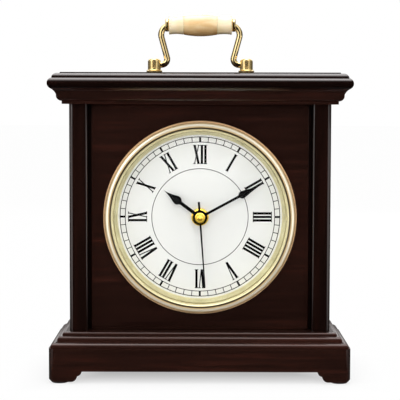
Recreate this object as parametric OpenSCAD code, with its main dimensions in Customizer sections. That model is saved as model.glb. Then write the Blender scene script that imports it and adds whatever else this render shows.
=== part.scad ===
/* [Case] */
// Width of the case over the two side boards
body_w = 172; // [150:1:200]
// Height of the side boards
body_h = 149.8; // [142:0.2:180]
// Depth of the case from the cornice nose to the flat back
case_depth = 83; // [78:0.5:110]
// Thickness of a side board
side_t = 12; // [9:0.5:15]
// Radius on the outer front edge of a side board
side_outer_r = 2.6; // [1:0.1:4]
// Radius on the inner front edge of a side board
side_inner_r = 1.2; // [0.4:0.1:2]
// How far the front panel lies behind the side boards
panel_recess = 7; // [4:0.5:9]
// Thickness of the front panel
panel_t = 9; // [6:0.5:11]
// Width of the shadow groove at each side of the front panel
groove_w = 2.2; // [1:0.1:4]
// Depth of that groove
groove_depth = 4; // [2:0.5:5]
// Leg of the triangular glue blocks
glue_block = 12; // [8:1:14]
// Length of a glue block
glue_block_len = 26; // [15:1:30]

/* [Cornice] */
// How far the cornice nose stands out from the case
cornice_overhang = 13; // [12:0.1:16]
// Thickness of the lower cornice board
ogee_board_t = 10; // [9.5:0.1:14]
// Thickness of the upper cornice board
crown_board_t = 10.7; // [10.5:0.1:14]
// Height of the plain fillet under the ogee
ogee_fillet_h = 2; // [1:0.1:2.4]
// Radius of the round at the foot of the ogee
ogee_round_r = 3.4; // [1.5:0.1:3.6]
// Height of the bullnose
bullnose_h = 6.8; // [5:0.1:7]
// How far the bullnose swells out
bullnose_swell = 2; // [1:0.1:2.5]
// Radius of the ovolo above the bullnose
crown_ovolo_r = 3.2; // [2:0.1:3.4]

/* [Plinth] */
// How far the plinth frame stands out from the case
plinth_overhang = 12.8; // [12:0.1:16]
// Height of the plinth frame with its pads
plinth_h = 23; // [20:0.1:30]
// Thickness of the stepped board on the frame
step_board_t = 9.7; // [9.5:0.1:14]
// How far the upper step stands out from the case
upper_step = 4.3; // [2.5:0.1:4.6]
// Height of the upper step
upper_step_h = 2.4; // [2:0.1:2.6]
// How far the lower step stands out from the case
lower_step = 7.5; // [7.2:0.1:8]
// Height of the lower step
lower_step_h = 3.4; // [3:0.1:3.6]
// Radius of the ovolo under the steps
step_ovolo_r = 3.2; // [2:0.1:3.4]
// Thickness of a plinth rail
rail_t = 12; // [9:0.5:15]
// Radius on the front corners of the plinth
plinth_corner_r = 4; // [2:0.5:6]
// Clear height under the rails between the feet
apron_clear = 8; // [6.5:0.1:12]
// Width of a bracket foot at the rail
foot_w = 21.6; // [18:0.2:28]
// Radius of the round at the head of the bracket
bracket_r = 3; // [2:0.1:4]
// Thickness of a foot pad
pad_t = 1.2; // [0.8:0.1:2]
// Diameter of a foot pad
pad_d = 10.5; // [8:0.5:11]

/* [Bezel and dial] */
// Radius of the bezel's flange on the panel
bezel_r = 64; // [62:0.1:68]
// Radius of the hole in the front panel
panel_bore_r = 60.5; // [60.2:0.1:61]
// Radius of the circle along the crest of the bezel
bezel_crest_r = 60.2; // [59.8:0.1:60.6]
// Radius of the bezel's round bead
bezel_bead_r = 2.9; // [2.4:0.1:3.1]
// Outer radius of the bezel's spigot
spigot_r = 59.4; // [59.2:0.1:59.8]
// Wall of the spigot
spigot_wall = 1; // [0.8:0.1:1.2]
// Radius of the round opening in the bezel
lip_r = 57.2; // [56.5:0.1:57.5]
// Thickness of the glass
glass_t = 2; // [1.5:0.1:2.4]
// How far the glass swells forward at its middle
glass_rise = 10; // [9.5:0.1:13]
// Depth of the dial behind the front panel's face
dial_depth = 6.5; // [5:0.1:8]
// Thickness of the dial
dial_t = 0.6; // [0.4:0.1:1]
// Radius of the dial that shows inside the inner ring
dial_show_r = 54.7; // [53.8:0.1:55.5]
// Depth of the ring that holds the dial
retainer_t = 2.5; // [2:0.1:3]

/* [Hands] */
// Angle of the hour hand from twelve
hour_angle = 306.7; // [0:0.1:360]
// Angle of the minute hand from twelve
minute_angle = 61.5; // [0:0.1:360]
// Angle of the second hand from twelve
second_angle = 175.7; // [0:0.1:360]
// Length of the hour hand
hour_len = 30.4; // [26:0.1:34]
// Distance from the centre to the pear of the hour hand
hour_pear_at = 18.8; // [15:0.1:21]
// Radius of the pear of the hour hand
hour_pear_r = 2.9; // [2:0.1:3.5]
// Length of the minute hand
minute_len = 48.6; // [42:0.1:51]
// Distance from the centre to the pear of the minute hand
minute_pear_at = 31.8; // [26:0.1:34]
// Radius of the pear of the minute hand
minute_pear_r = 2.5; // [1.8:0.1:3]
// Length of the second hand
second_len = 46.4; // [40:0.1:50]
// Length of the second hand's tail
second_tail = 10.5; // [7:0.1:14]
// Thickness of a hand
hand_t = 0.5; // [0.3:0.1:0.6]
// Diameter of the brass cap
cap_d = 6.8; // [5:0.1:8]

/* [Handle] */
// Distance between the two posts
post_spacing = 62; // [54:0.5:90]
// Diameter of a post
post_d = 8.7; // [8:0.1:10]
// Diameter of a post's flange
post_flange_d = 10.4; // [10:0.1:14]
// Height of a post
post_h = 9.9; // [9.6:0.1:12]
// Height of the pivot above the top board
pivot_h = 5.8; // [5.4:0.1:6]
// Width of the recess in the face of a post
post_recess_w = 2.6; // [1.8:0.1:3]
// Height of that recess
post_recess_h = 5.8; // [4:0.1:6.4]
// Diameter of the handle's bent arms
arm_d = 4.1; // [3:0.1:4.3]
// Height of the grip above the pivot
grip_rise = 26.6; // [24:0.1:34]
// Radius of the bend under the grip
top_bend_r = 6.3; // [5.5:0.1:6.6]
// Radius of the bend at the post
foot_bend_r = 3.8; // [3:0.1:4.5]
// Length of the middle barrel of the grip
barrel_len = 22.4; // [16:0.1:30]
// Largest diameter of that barrel
barrel_d = 15; // [13:0.1:17]
// Length of each end piece of the grip
grip_end_len = 9.9; // [7:0.1:14]
// Diameter of an end piece at its ends
grip_end_d = 12.8; // [11:0.1:14]
// Diameter of an end piece at its waist
grip_waist_d = 11.9; // [10:0.1:12.5]
// Diameter of the flange on an arm
arm_flange_d = 8.8; // [7:0.1:10]
// Thickness of that flange
arm_flange_t = 2.5; // [2:0.1:3]

/* [Back door] */
// Thickness of the door
door_t = 6; // [4:0.5:8]
// Gap round the door
door_gap = 0.8; // [0.6:0.1:1.5]
// Diameter of the finger hole
finger_hole_d = 18; // [14:1:24]
// Length of a hinge
hinge_len = 26; // [18:1:36]
// Width of one hinge leaf from the pin
hinge_leaf_w = 10; // [8:0.5:11]
// Thickness of a hinge leaf
hinge_leaf_t = 0.8; // [0.6:0.1:1]
// Diameter of the hinge barrel
hinge_barrel_d = 3; // [2.6:0.1:4]
// Diameter of the hinge pin
hinge_pin_d = 1.5; // [1:0.1:1.6]
// Diameter of the catch magnet
magnet_d = 8; // [6:0.5:9]

/* [Movement] */
// Width of the movement
movement_w = 56; // [56:0.5:62]
// Height of the movement
movement_h = 56; // [56:0.5:62]
// Depth of the movement
movement_t = 16; // [16:0.1:18]
// Distance from the hand arbor up to the movement's top edge
arbor_from_top = 20; // [20:0.1:22]
// Wall of the movement's housing
housing_wall = 1.6; // [1.2:0.1:1.8]
// Diameter of the threaded bush
bush_d = 7.8; // [7:0.1:9]
// Diameter of the centre nut
nut_d = 11.8; // [10.5:0.1:13]
// Diameter of the cell
cell_d = 14.2; // [10:0.1:14.4]
// Length of the cell
cell_len = 49.5; // [44:0.1:50]
// Distance from the hand arbor to the intermediate wheel
motion_distance = 14; // [14:0.1:14.4]
// Distance from the hand arbor to the third wheel
third_distance = 13.5; // [13.4:0.1:13.6]
// Distance from the hand arbor to the fifth wheel
fifth_distance = 13.3; // [13.3:0.1:13.5]
// Distance from the fifth wheel to the rotor
rotor_distance = 7.2; // [7.1:0.1:7.4]
// Play between two meshing teeth along the pitch circle
tooth_play = 0.12; // [0.1:0.01:0.16]

/* [Hidden] */

// Facets of a full circle
$fn = 96;
// Steps in a quarter of a moulded edge
arc_steps = 8;
// Radial play of an arbor or pin in its bearing
running = 0.05;
// Play of a piece that is dropped into its seat
seat_play = 0.1;
// Extra reach of a cutting shape past the face that it cuts
past = 1;

// Case layout: x across, y from front to back, z up, origin under the middle
hinge_proud = hinge_barrel_d;
front_y = -(case_depth + hinge_proud) / 2;
back_y = front_y + case_depth;
body_front_y = front_y + cornice_overhang;
body_z = plinth_h + step_board_t;
body_top_z = body_z + body_h;
crown_z = body_top_z + ogee_board_t;
top_z = crown_z + crown_board_t;
inside_w = body_w - 2 * side_t;
panel_y = body_front_y + panel_recess;
panel_back_y = panel_y + panel_t;
plinth_front_y = body_front_y - plinth_overhang;
plinth_w = body_w + 2 * plinth_overhang;
dial_z = body_z + body_h / 2;

// Depths behind the panel's face, counted forward along the hand arbor
dial_face = -dial_depth;
movement_face = dial_face - dial_t;
glass_seat = bezel_bead_r - 0.9;
glass_rim = glass_seat - glass_t;
spigot_back = movement_face - retainer_t;
spigot_bore_r = spigot_r - spigot_wall;
insert_r = spigot_bore_r - seat_play;

// Heights of the hands above the dial's face
nut_t = 2.5;
hour_hand_at = 3.8;
minute_hand_at = 6.3;
second_hand_at = 8.8;
cap_front = 12.4;
hour_tube_r = 2.3;
minute_tube_r = 1.5;
second_arbor_r = 0.5;
hour_hub_r = 4.4;
minute_hub_r = 4.75;
hub_t = 1.4;
hour_stem = 1.15;
minute_stem = 0.85;
second_tail_w = 0.75;
second_tip_w = 0.35;
second_disc_r = 2.2;
second_collet_r = 1.1;
minute_hub_t = hub_t + 0.4;
second_collet = second_hand_at - minute_hand_at - minute_hub_t - 0.3;

// Points of an arc round a centre
function arc(c, r, from, to, steps = arc_steps) =
    [for (i = [0:steps]) let (a = from + (to - from) * i / steps) c + r * [cos(a), sin(a)]];

// Points of a shallow swelling arc between two points, bowed to the right of the way from p to q
function bow(p, q, sag, steps = arc_steps) =
    let (chord = norm(q - p), r = (pow(chord / 2, 2) + sag * sag) / (2 * sag),
        way = (q - p) / chord, side = [way.y, -way.x], c = (p + q) / 2 - side * (r - sag),
        half = asin(chord / 2 / r), mid = atan2(side.y, side.x))
    arc(c, r, mid - half, mid + half, steps);

function reverse(list) = [for (i = [len(list) - 1:-1:0]) list[i]];

// Edge profiles: how far out from the case, and how high on the board, from bottom to top
ogee_fillet_out = cornice_overhang - 8.8;
ogee_nose_out = cornice_overhang - bullnose_swell;
ogee_hollow_rise = 0.8;
ogee_hollow_sag = 0.5;
ogee_edge = concat(
    [[ogee_fillet_out, 0], [ogee_fillet_out, ogee_fillet_h]],
    arc([ogee_fillet_out, ogee_fillet_h + ogee_round_r], ogee_round_r, -90, 0),
    reverse(bow([ogee_nose_out, ogee_board_t], [ogee_fillet_out + ogee_round_r,
        ogee_fillet_h + ogee_round_r + ogee_hollow_rise], ogee_hollow_sag)));
crown_step_out = cornice_overhang - 2.7;
crown_rim_out = crown_step_out - crown_ovolo_r - 1.8;
crown_rim_r = 0.3;
crown_edge = concat(
    bow([ogee_nose_out, 0], [ogee_nose_out, bullnose_h], bullnose_swell),
    [[crown_step_out, bullnose_h]],
    arc([crown_step_out - crown_ovolo_r, bullnose_h], crown_ovolo_r, 0, 90),
    [[crown_rim_out, bullnose_h + crown_ovolo_r]],
    arc([crown_rim_out - crown_rim_r, crown_board_t - crown_rim_r], crown_rim_r, 0, 90, 4));
step_ovolo_out = lower_step + 0.9 + step_ovolo_r;
step_fillet_h = 0.4;
lower_step_r = 2.8;
upper_step_r = 1.9;
step_floor = step_board_t - upper_step_h - lower_step_h;
step_edge = concat(
    [[step_ovolo_out, 0]],
    arc([step_ovolo_out - step_ovolo_r, step_floor - step_ovolo_r - step_fillet_h], step_ovolo_r, 0, 90),
    [[step_ovolo_out - step_ovolo_r, step_floor]],
    [[lower_step, step_floor]],
    arc([lower_step - lower_step_r, step_board_t - upper_step_h - lower_step_r], lower_step_r, 0, 90, 5),
    [[upper_step, step_board_t - upper_step_h]],
    arc([upper_step - upper_step_r, step_board_t - upper_step_r], upper_step_r, 0, 90, 5));

wood_colour = [0.16, 0.07, 0.05];
inside_colour = [0.42, 0.26, 0.16];
brass_colour = [0.86, 0.68, 0.32];
steel_colour = [0.7, 0.7, 0.72];
black_colour = [0.05, 0.05, 0.05];
gear_colour = [0.9, 0.88, 0.8];

// A board with a moulded edge at its front and both ends, flat and square at its back
module moulded_board(edge, t) {
    right = [for (p = edge) [body_w / 2 + p.x, p.y]];
    left = [for (p = reverse(edge)) [-body_w / 2 - p.x, p.y]];
    front = [for (p = edge) [body_front_y - p.x, p.y]];
    intersection() {
        translate([0, back_y, 0])
            rotate([90, 0, 0])
                linear_extrude(case_depth + cornice_overhang)
                    polygon(concat(right, left));
        translate([-body_w, 0, 0])
            rotate([90, 0, 90])
                linear_extrude(2 * body_w)
                    polygon(concat(front, [[back_y, t], [back_y, 0]]));
    }
}

// Bores for the two studs of the handle's posts
module post_bores(z, h) {
    for (side = [-1, 1])
        translate([side * post_spacing / 2, 0, z - past])
            cylinder(h = h + 2 * past, r = post_stud_r + seat_play);
}

module crown_board() color(wood_colour)
    difference() {
        translate([0, 0, crown_z]) moulded_board(crown_edge, crown_board_t);
        post_bores(crown_z, crown_board_t);
    }

module ogee_board() color(wood_colour)
    difference() {
        translate([0, 0, body_top_z]) moulded_board(ogee_edge, ogee_board_t);
        post_bores(body_top_z, ogee_board_t);
    }

module step_board() color(wood_colour)
    translate([0, 0, plinth_h]) moulded_board(step_edge, step_board_t);

// Side board with its front edge rounded as a pilaster; the outer face is at the left
module side_board()
    translate([0, 0, body_z])
        linear_extrude(body_h)
            polygon(concat(
                [[-body_w / 2, back_y]],
                arc([-body_w / 2 + side_outer_r, body_front_y + side_outer_r], side_outer_r, 180, 270),
                arc([-inside_w / 2 - side_inner_r, body_front_y + side_inner_r], side_inner_r,
                    270, 360, 5),
                [[-inside_w / 2, back_y]]));

module left_side() color(wood_colour)
    difference() {
        side_board();
        hinge_screw_bores(-1);
    }

module right_side() color(wood_colour)
    mirror([1, 0, 0]) side_board();

module front_panel() color(wood_colour)
    difference() {
        translate([0, 0, body_z])
            linear_extrude(body_h)
                difference() {
                    translate([-inside_w / 2, panel_y]) square([inside_w, panel_t]);
                    for (side = [-1, 1])
                        translate([side * (inside_w / 2 - groove_w / 2), panel_y])
                            square([groove_w, 2 * groove_depth], center = true);
                }
        on_arbor() translate([0, 0, -panel_t - past]) cylinder(h = panel_t + 2 * past, r = panel_bore_r);
    }

// Places children on the hand arbor: local z points forward from the panel's face
module on_arbor()
    translate([0, panel_y, dial_z]) rotate([90, 0, 0]) children();

// Triangular blocks glued into the corners behind the front panel
module glue_blocks() color(inside_colour)
    for (side = [-1, 1])
        for (z = [body_z, body_top_z - glue_block_len])
            translate([side * inside_w / 2, panel_back_y, z])
                linear_extrude(glue_block_len)
                    polygon([[0, 0], [-side * glue_block, 0], [0, glue_block]]);

// Outline of the plinth seen from above, with rounded front corners
module plinth_plan()
    polygon(concat(
        arc([-plinth_w / 2 + plinth_corner_r, plinth_front_y + plinth_corner_r], plinth_corner_r, 180, 270),
        arc([plinth_w / 2 - plinth_corner_r, plinth_front_y + plinth_corner_r], plinth_corner_r, 270, 360),
        [[plinth_w / 2, back_y], [-plinth_w / 2, back_y]]));

// Width and height of the small chamfer at the toe of a foot
toe_chamfer = [2.4, 1.8];

// Half outline of a rail with a bracket foot, from its middle to its end at half the length
function bracket(length) =
    let (end = length / 2, toe_r = apron_clear - pad_t - bracket_r, head = end - foot_w + bracket_r)
    concat(
        [[0, plinth_h], [0, apron_clear]],
        arc([head, apron_clear], bracket_r, 180, 270, 6),
        arc([head + toe_r, apron_clear - bracket_r], toe_r, 180, 270, 6),
        [[end - toe_chamfer.x, pad_t], [end, pad_t + toe_chamfer.y], [end, plinth_h]]);

module rail_outline(length)
    for (side = [0, 1])
        mirror([side, 0]) polygon(bracket(length));

module plinth_front() color(wood_colour)
    intersection() {
        translate([0, plinth_front_y + rail_t, 0])
            rotate([90, 0, 0])
                linear_extrude(rail_t)
                    rail_outline(plinth_w);
        linear_extrude(plinth_h) plinth_plan();
    }

module side_rail() {
    length = back_y - plinth_front_y;
    translate([-plinth_w / 2, 0, 0])
        intersection() {
            translate([0, plinth_front_y + length / 2, 0])
                rotate([90, 0, 90])
                    linear_extrude(rail_t)
                        rail_outline(length);
            translate([0, plinth_front_y + rail_t, 0]) cube([rail_t, length - rail_t, plinth_h]);
        }
}

module plinth_left() color(wood_colour) side_rail();

module plinth_right() color(wood_colour) mirror([1, 0, 0]) side_rail();

module plinth_back() color(wood_colour)
    translate([-plinth_w / 2 + rail_t, back_y - rail_t, apron_clear])
        cube([plinth_w - 2 * rail_t, rail_t, plinth_h - apron_clear]);

// Blocks glued into the corners of the plinth frame, under the stepped board
module plinth_blocks() color(inside_colour)
    for (side = [-1, 1])
        for (end = [[plinth_front_y + rail_t, 1], [back_y - rail_t, -1]])
            translate([side * (plinth_w / 2 - rail_t), end[0], apron_clear + 1])
                linear_extrude(plinth_h - apron_clear - 1)
                    polygon([[0, 0], [-side * 1.5 * glue_block, 0], [0, end[1] * 1.5 * glue_block]]);

module foot_pads() color(black_colour)
    for (side = [-1, 1])
        for (y = [plinth_front_y + rail_t / 2 + 1, back_y - rail_t / 2 - 1])
            translate([side * (plinth_w / 2 - rail_t / 2 - 1), y, 0])
                cylinder(h = pad_t, d = pad_d);

// Back door, inset between the side boards and hung at the left as seen from the front
door_w = inside_w - 2 * door_gap;
door_z = body_z + door_gap;
door_h = body_h - 2 * door_gap;
door_y = back_y - door_t;
hinge_x = -inside_w / 2 + door_gap / 2;
hinge_y = back_y + hinge_barrel_d / 2;
hinge_heights = [body_z + 0.19 * body_h, body_z + 0.81 * body_h];
hinge_screw_r = 0.9;
hinge_screw_len = 7;
hinge_screw_head_r = 1.7;
knuckle_gap = 0.2;
catch_z = dial_z;
catch_t = 1;
magnet_t = 5;
stop_w = 12;
stop_t = 9;
stop_len = 70;
stop_gap = 0.3;
finger_hole_in = 30;
leaf_corner_r = 1.5;
screw_over = 0.62 * hinge_leaf_w;
screw_up = 0.31 * hinge_len;

// Places of the screws in one hinge leaf: side is -1 on the case, 1 on the door
module at_hinge_screws(side)
    for (z = hinge_heights)
        for (end = [-1, 1])
            translate([hinge_x + side * screw_over, back_y, z + end * screw_up])
                children();

module hinge_screw_bores(side)
    at_hinge_screws(side)
        translate([0, past, 0])
            rotate([90, 0, 0])
                cylinder(h = min(hinge_screw_len, door_t - 1) + past + 0.2, r = hinge_screw_r);

// Countersunk screws through the leaves
module hinge_screws(side)
    at_hinge_screws(side)
        translate([0, hinge_leaf_t, 0])
            rotate([90, 0, 0])
                union() {
                    cylinder(h = hinge_leaf_t, r1 = hinge_screw_head_r, r2 = hinge_screw_r);
                    cylinder(h = min(hinge_screw_len, door_t - 1), r = hinge_screw_r);
                }

// Leaf with rounded free corners; side is -1 on the case and 1 on the door
module hinge_leaf(z, side)
    translate([hinge_x, back_y + hinge_leaf_t, z])
        rotate([90, 0, 0])
            linear_extrude(hinge_leaf_t)
                polygon([for (p = concat(
                    [[0, -hinge_len / 2]],
                    arc([hinge_leaf_w - leaf_corner_r, -hinge_len / 2 + leaf_corner_r],
                        leaf_corner_r, -90, 0, 5),
                    arc([hinge_leaf_w - leaf_corner_r, hinge_len / 2 - leaf_corner_r],
                        leaf_corner_r, 0, 90, 5),
                    [[0, hinge_len / 2]])) [side * p.x, p.y]]);

// Room that the knuckles of the other leaf take: middle third or outer thirds
module knuckle_span(z, middle, grow) {
    third = hinge_len / 3;
    spans = middle ? [[-third / 2, third]] : [[-1.5 * third - past, third + past], [third / 2, third + past]];
    for (s = spans)
        translate([hinge_x - hinge_barrel_d / 2 - grow, back_y - past, z + s[0] - grow])
            cube([hinge_barrel_d + 2 * grow, hinge_barrel_d + 2 * past, s[1] + 2 * grow]);
}

module hinge_half(z, side, bore_r) {
    third = hinge_len / 3;
    barrels = side > 0 ? [-third / 2] : [-1.5 * third, third / 2];
    difference() {
        union() {
            difference() {
                hinge_leaf(z, side);
                knuckle_span(z, side < 0, knuckle_gap);
            }
            for (low = barrels)
                translate([hinge_x, hinge_y, z + low + (side > 0 ? knuckle_gap / 2 : 0)])
                    cylinder(h = third - (side > 0 ? knuckle_gap : 0), d = hinge_barrel_d);
        }
        translate([hinge_x, hinge_y, z - hinge_len]) cylinder(h = 2 * hinge_len, r = bore_r);
    }
}

module leaf_screw_holes(side)
    at_hinge_screws(side)
        translate([0, hinge_leaf_t, 0])
            rotate([90, 0, 0])
                union() {
                    cylinder(h = hinge_leaf_t, r1 = hinge_screw_head_r, r2 = hinge_screw_r);
                    translate([0, 0, -past]) cylinder(h = 2 * past + hinge_leaf_t, r = hinge_screw_r);
                }

module case_hinge_leaves() color(brass_colour)
    difference() {
        for (z = hinge_heights) hinge_half(z, -1, hinge_pin_d / 2);
        leaf_screw_holes(-1);
    }

module door_hinge_leaves() color(brass_colour)
    difference() {
        for (z = hinge_heights) hinge_half(z, 1, hinge_pin_d / 2 + running);
        leaf_screw_holes(1);
    }

module hinge_pins() color(steel_colour)
    for (z = hinge_heights)
        translate([hinge_x, hinge_y, z - hinge_len / 2 - 0.5])
            cylinder(h = hinge_len + 1, d = hinge_pin_d);

module case_hinge_screws() color(brass_colour) hinge_screws(-1);

module door_hinge_screws() color(brass_colour) hinge_screws(1);

module at_catch() translate([inside_w / 2 - stop_w / 2, door_y, catch_z]) children();

module back_door() color(wood_colour)
    difference() {
        translate([-door_w / 2, door_y, door_z]) cube([door_w, door_t, door_h]);
        hinge_screw_bores(1);
        at_catch() rotate([-90, 0, 0]) translate([0, 0, -past]) cylinder(h = catch_t + past, d = magnet_d);
        translate([inside_w / 2 - finger_hole_in, back_y + past, catch_z])
            rotate([90, 0, 0])
                cylinder(h = door_t + 2 * past, d = finger_hole_d);
    }

module catch_plate() color(steel_colour)
    at_catch() rotate([-90, 0, 0]) cylinder(h = catch_t, d = magnet_d);

// Batten that the door closes against, with the magnet let into it
module door_stop() color(inside_colour)
    difference() {
        translate([inside_w / 2 - stop_w, door_y - stop_gap - stop_t, catch_z - stop_len / 2])
            cube([stop_w, stop_t, stop_len]);
        at_catch()
            translate([0, past - stop_gap, 0])
                rotate([90, 0, 0])
                    cylinder(h = magnet_t + past, d = magnet_d);
    }

module catch_magnet() color(steel_colour)
    at_catch() translate([0, -stop_gap, 0]) rotate([90, 0, 0]) cylinder(h = magnet_t, d = magnet_d);

// Handle: posts, arms and grip
post_stud_r = 2;
nut_across = 7;
nut_h = 3.2;
washer_t = 0.8;
washer_r = 4.5;
post_foot_t = 0.9;
post_waist_h = 3.2;
post_dome_r = 2.2;
post_notch = 2.6;
post_notch_depth = 0.9;
post_recess_depth = 1;
post_recess_z = 6.2;
pivot_z = top_z + pivot_h;
post_x = post_spacing / 2;
arm_r = arm_d / 2;
// The straight lengths of an arm are a hair thinner than its bends and run a little way into them
straight_r = arm_r - 0.03;
straight_lap = 0.3;
pin_end = post_x + 0.34 * post_d;
stud_len = ogee_board_t + crown_board_t + washer_t + nut_h + 1.5;

// Turned post with a bell foot and a domed head
post_profile = concat(
    [[0, 0], [post_flange_d / 2, 0], [post_flange_d / 2, post_foot_t]],
    reverse(arc([post_flange_d / 2 + 0.6, post_waist_h], post_flange_d / 2 + 0.6 - post_d / 2, 180, 255, 6)),
    arc([post_d / 2 - post_dome_r, post_h - post_dome_r], post_dome_r, 0, 90),
    [[0, post_h]]);

// Outline of the recess in a post's face, round at both ends
module recess_outline() {
    r = post_recess_w / 2;
    half = post_recess_h / 2 - r;
    polygon(concat(arc([0, half], r, 0, 180), arc([0, -half], r, 180, 360)));
}

module post() {
    difference() {
        union() {
            rotate_extrude() polygon(post_profile);
            translate([0, 0, -stud_len]) cylinder(h = stud_len, r = post_stud_r);
        }
        for (turn = [0, 180])
            rotate([0, 0, turn])
                translate([0, post_recess_depth - post_d / 2, post_recess_z])
                    rotate([90, 0, 0])
                        linear_extrude(post_d) recess_outline();
        translate([0, 0, post_h - post_notch_depth + post_notch / sqrt(2)])
            rotate([0, 45, 0])
                cube([post_notch, 2 * post_d, post_notch], center = true);
        translate([post_x - pin_end - 0.3, 0, pivot_h])
            rotate([0, 90, 0])
                cylinder(h = post_d, r = straight_r + running);
    }
}

module left_post() color(brass_colour)
    translate([-post_x, 0, top_z]) post();

module right_post() color(brass_colour)
    translate([post_x, 0, top_z]) mirror([1, 0, 0]) post();

module post_washers() color(steel_colour)
    for (side = [-1, 1])
        translate([side * post_x, 0, body_top_z - washer_t])
            difference() {
                cylinder(h = washer_t, r = washer_r);
                translate([0, 0, -past]) cylinder(h = washer_t + 2 * past, r = post_stud_r + seat_play);
            }

module post_nuts() color(steel_colour)
    for (side = [-1, 1])
        translate([side * post_x, 0, body_top_z - washer_t - nut_h])
            difference() {
                cylinder(h = nut_h, d = nut_across / cos(30), $fn = 6);
                translate([0, 0, -past]) cylinder(h = nut_h + 2 * past, r = post_stud_r);
            }

// Bent arm, drawn in its own plane with the pivot at height 0 and the grip at grip_rise
grip_half = barrel_len / 2 + grip_end_len;
arm_flange_x = grip_half + arm_flange_t;
arm_flange_r = 0.8;
stud_end = arm_flange_x - 0.8;
top_bend_c = [-(grip_half - 1), grip_rise - top_bend_r - 0.2];
foot_bend_c = [-(post_x - post_d / 2 - 0.5), foot_bend_r];
bend_way = foot_bend_c - top_bend_c;
lean = atan2(bend_way.y, bend_way.x) + asin((top_bend_r + foot_bend_r) / norm(bend_way));
lean_top = top_bend_c + top_bend_r * [cos(lean - 90), sin(lean - 90)];
lean_foot = foot_bend_c + foot_bend_r * [cos(lean + 90), sin(lean + 90)];

module bend(c, r, from, to)
    translate([c.x, 0, c.y])
        rotate([90, 0, 0])
            rotate([0, 0, from])
                rotate_extrude(angle = to - from)
                    translate([r, 0]) circle(r = arm_r, $fn = 48);

module arm() {
    way = lean_foot - lean_top;
    difference() {
        union() {
            translate([-arm_flange_x, 0, grip_rise])
                rotate([0, 90, 0])
                    rotate_extrude()
                        polygon(concat([[0, 0]],
                            arc([arm_flange_d / 2 - arm_flange_r, arm_flange_r], arm_flange_r, -90, 0, 5),
                            arc([arm_flange_d / 2 - arm_flange_r, arm_flange_t - arm_flange_r],
                                arm_flange_r, 0, 90, 5),
                            [[0, arm_flange_t]]));
            bend(top_bend_c, top_bend_r, 110, lean + 270);
            translate([lean_top.x, 0, lean_top.y])
                rotate([0, 90 - lean, 0])
                    translate([0, 0, -straight_lap])
                        cylinder(h = norm(way) + 2 * straight_lap, r = straight_r, $fn = 48);
            bend(foot_bend_c, foot_bend_r, -90, lean + 90);
            translate([-pin_end, 0, 0])
                rotate([0, 90, 0])
                    cylinder(h = pin_end + foot_bend_c.x + straight_lap, r = straight_r, $fn = 48);
        }
        translate([-stud_end, 0, grip_rise])
            rotate([0, 90, 0])
                cylinder(h = arm_flange_x, r = grip_stud_r);
    }
}

module left_arm() color(brass_colour) translate([0, 0, pivot_z]) arm();

module right_arm() color(brass_colour) translate([0, 0, pivot_z]) mirror([1, 0, 0]) arm();

grip_stud_r = 1.4;
grip_z = pivot_z + grip_rise;

module grip_stud() color(steel_colour)
    translate([-stud_end, 0, grip_z])
        rotate([0, 90, 0])
            cylinder(h = 2 * stud_end, r = grip_stud_r);

// A bead of the grip: its length, radius at the ends and how far the middle swells or is drawn in
module grip_bead(length, end_r, swell)
    rotate([0, 90, 0])
        difference() {
            rotate_extrude()
                polygon(concat([[0, 0]],
                    swell > 0 ? bow([end_r, 0], [end_r, length], swell, 12)
                        : reverse(bow([end_r, length], [end_r, 0], -swell, 12)),
                    [[0, length]]));
            translate([0, 0, -past]) cylinder(h = length + 2 * past, r = grip_stud_r + seat_play);
        }

module grip_barrel() color([0.8, 0.62, 0.4])
    translate([-barrel_len / 2, 0, grip_z])
        grip_bead(barrel_len, grip_end_d / 2, (barrel_d - grip_end_d) / 2);

module grip_ends() color([0.93, 0.87, 0.74])
    for (x = [-grip_half, barrel_len / 2])
        translate([x, 0, grip_z])
            grip_bead(grip_end_len, grip_end_d / 2, -(grip_end_d - grip_waist_d) / 2);

// Bezel and dial, all turned round the hand arbor
bezel_flange_t = 0.9;
retainer_w = 7;
nut_edge_r = 0.8;
gasket_inset = 1;

module bezel() color(brass_colour)
    on_arbor()
        rotate_extrude()
            difference() {
                union() {
                    translate([lip_r, glass_rim]) square([bezel_crest_r - lip_r, bezel_bead_r - glass_rim]);
                    translate([bezel_crest_r, bezel_bead_r - 0.3]) circle(r = bezel_bead_r);
                    translate([spigot_bore_r, spigot_back]) square([spigot_wall, -spigot_back + past]);
                    translate([spigot_bore_r, 0]) square([bezel_r - spigot_bore_r, bezel_flange_t]);
                }
                translate([spigot_r, -bezel_r]) square([bezel_r, bezel_r]);
                translate([0, spigot_back - past]) square([spigot_bore_r, glass_seat - spigot_back + past]);
                translate([0, 0]) square([lip_r, bezel_r]);
            }

module bezel_gasket() color(black_colour)
    on_arbor()
        translate([0, 0, -panel_t + gasket_inset])
            difference() {
                cylinder(h = panel_t - 2 * gasket_inset, r = panel_bore_r);
                translate([0, 0, -past]) cylinder(h = panel_t + past, r = spigot_r);
            }

glass_base_r = lip_r - 0.3;
glass_ball_r = (pow(glass_base_r, 2) + pow(glass_rise, 2)) / (2 * glass_rise);
glass_ball_z = glass_seat + glass_rise - glass_ball_r;

// Domed glass: a flat rim in the bezel and a slice of a thick ball
module glass() color([0.85, 0.92, 0.95, 0.3])
    on_arbor()
        rotate_extrude()
            difference() {
                union() {
                    translate([0, glass_rim]) square([insert_r, glass_t]);
                    intersection() {
                        translate([0, glass_ball_z]) circle(r = glass_ball_r, $fn = 720);
                        translate([0, glass_rim]) square([glass_base_r, glass_rise + glass_t]);
                    }
                }
                intersection() {
                    translate([0, glass_ball_z]) circle(r = glass_ball_r - glass_t, $fn = 720);
                    translate([-past, glass_rim - past]) square([insert_r, glass_rise + glass_t + past]);
                }
                translate([-bezel_r, -bezel_r]) square([bezel_r, 3 * bezel_r]);
            }

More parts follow.
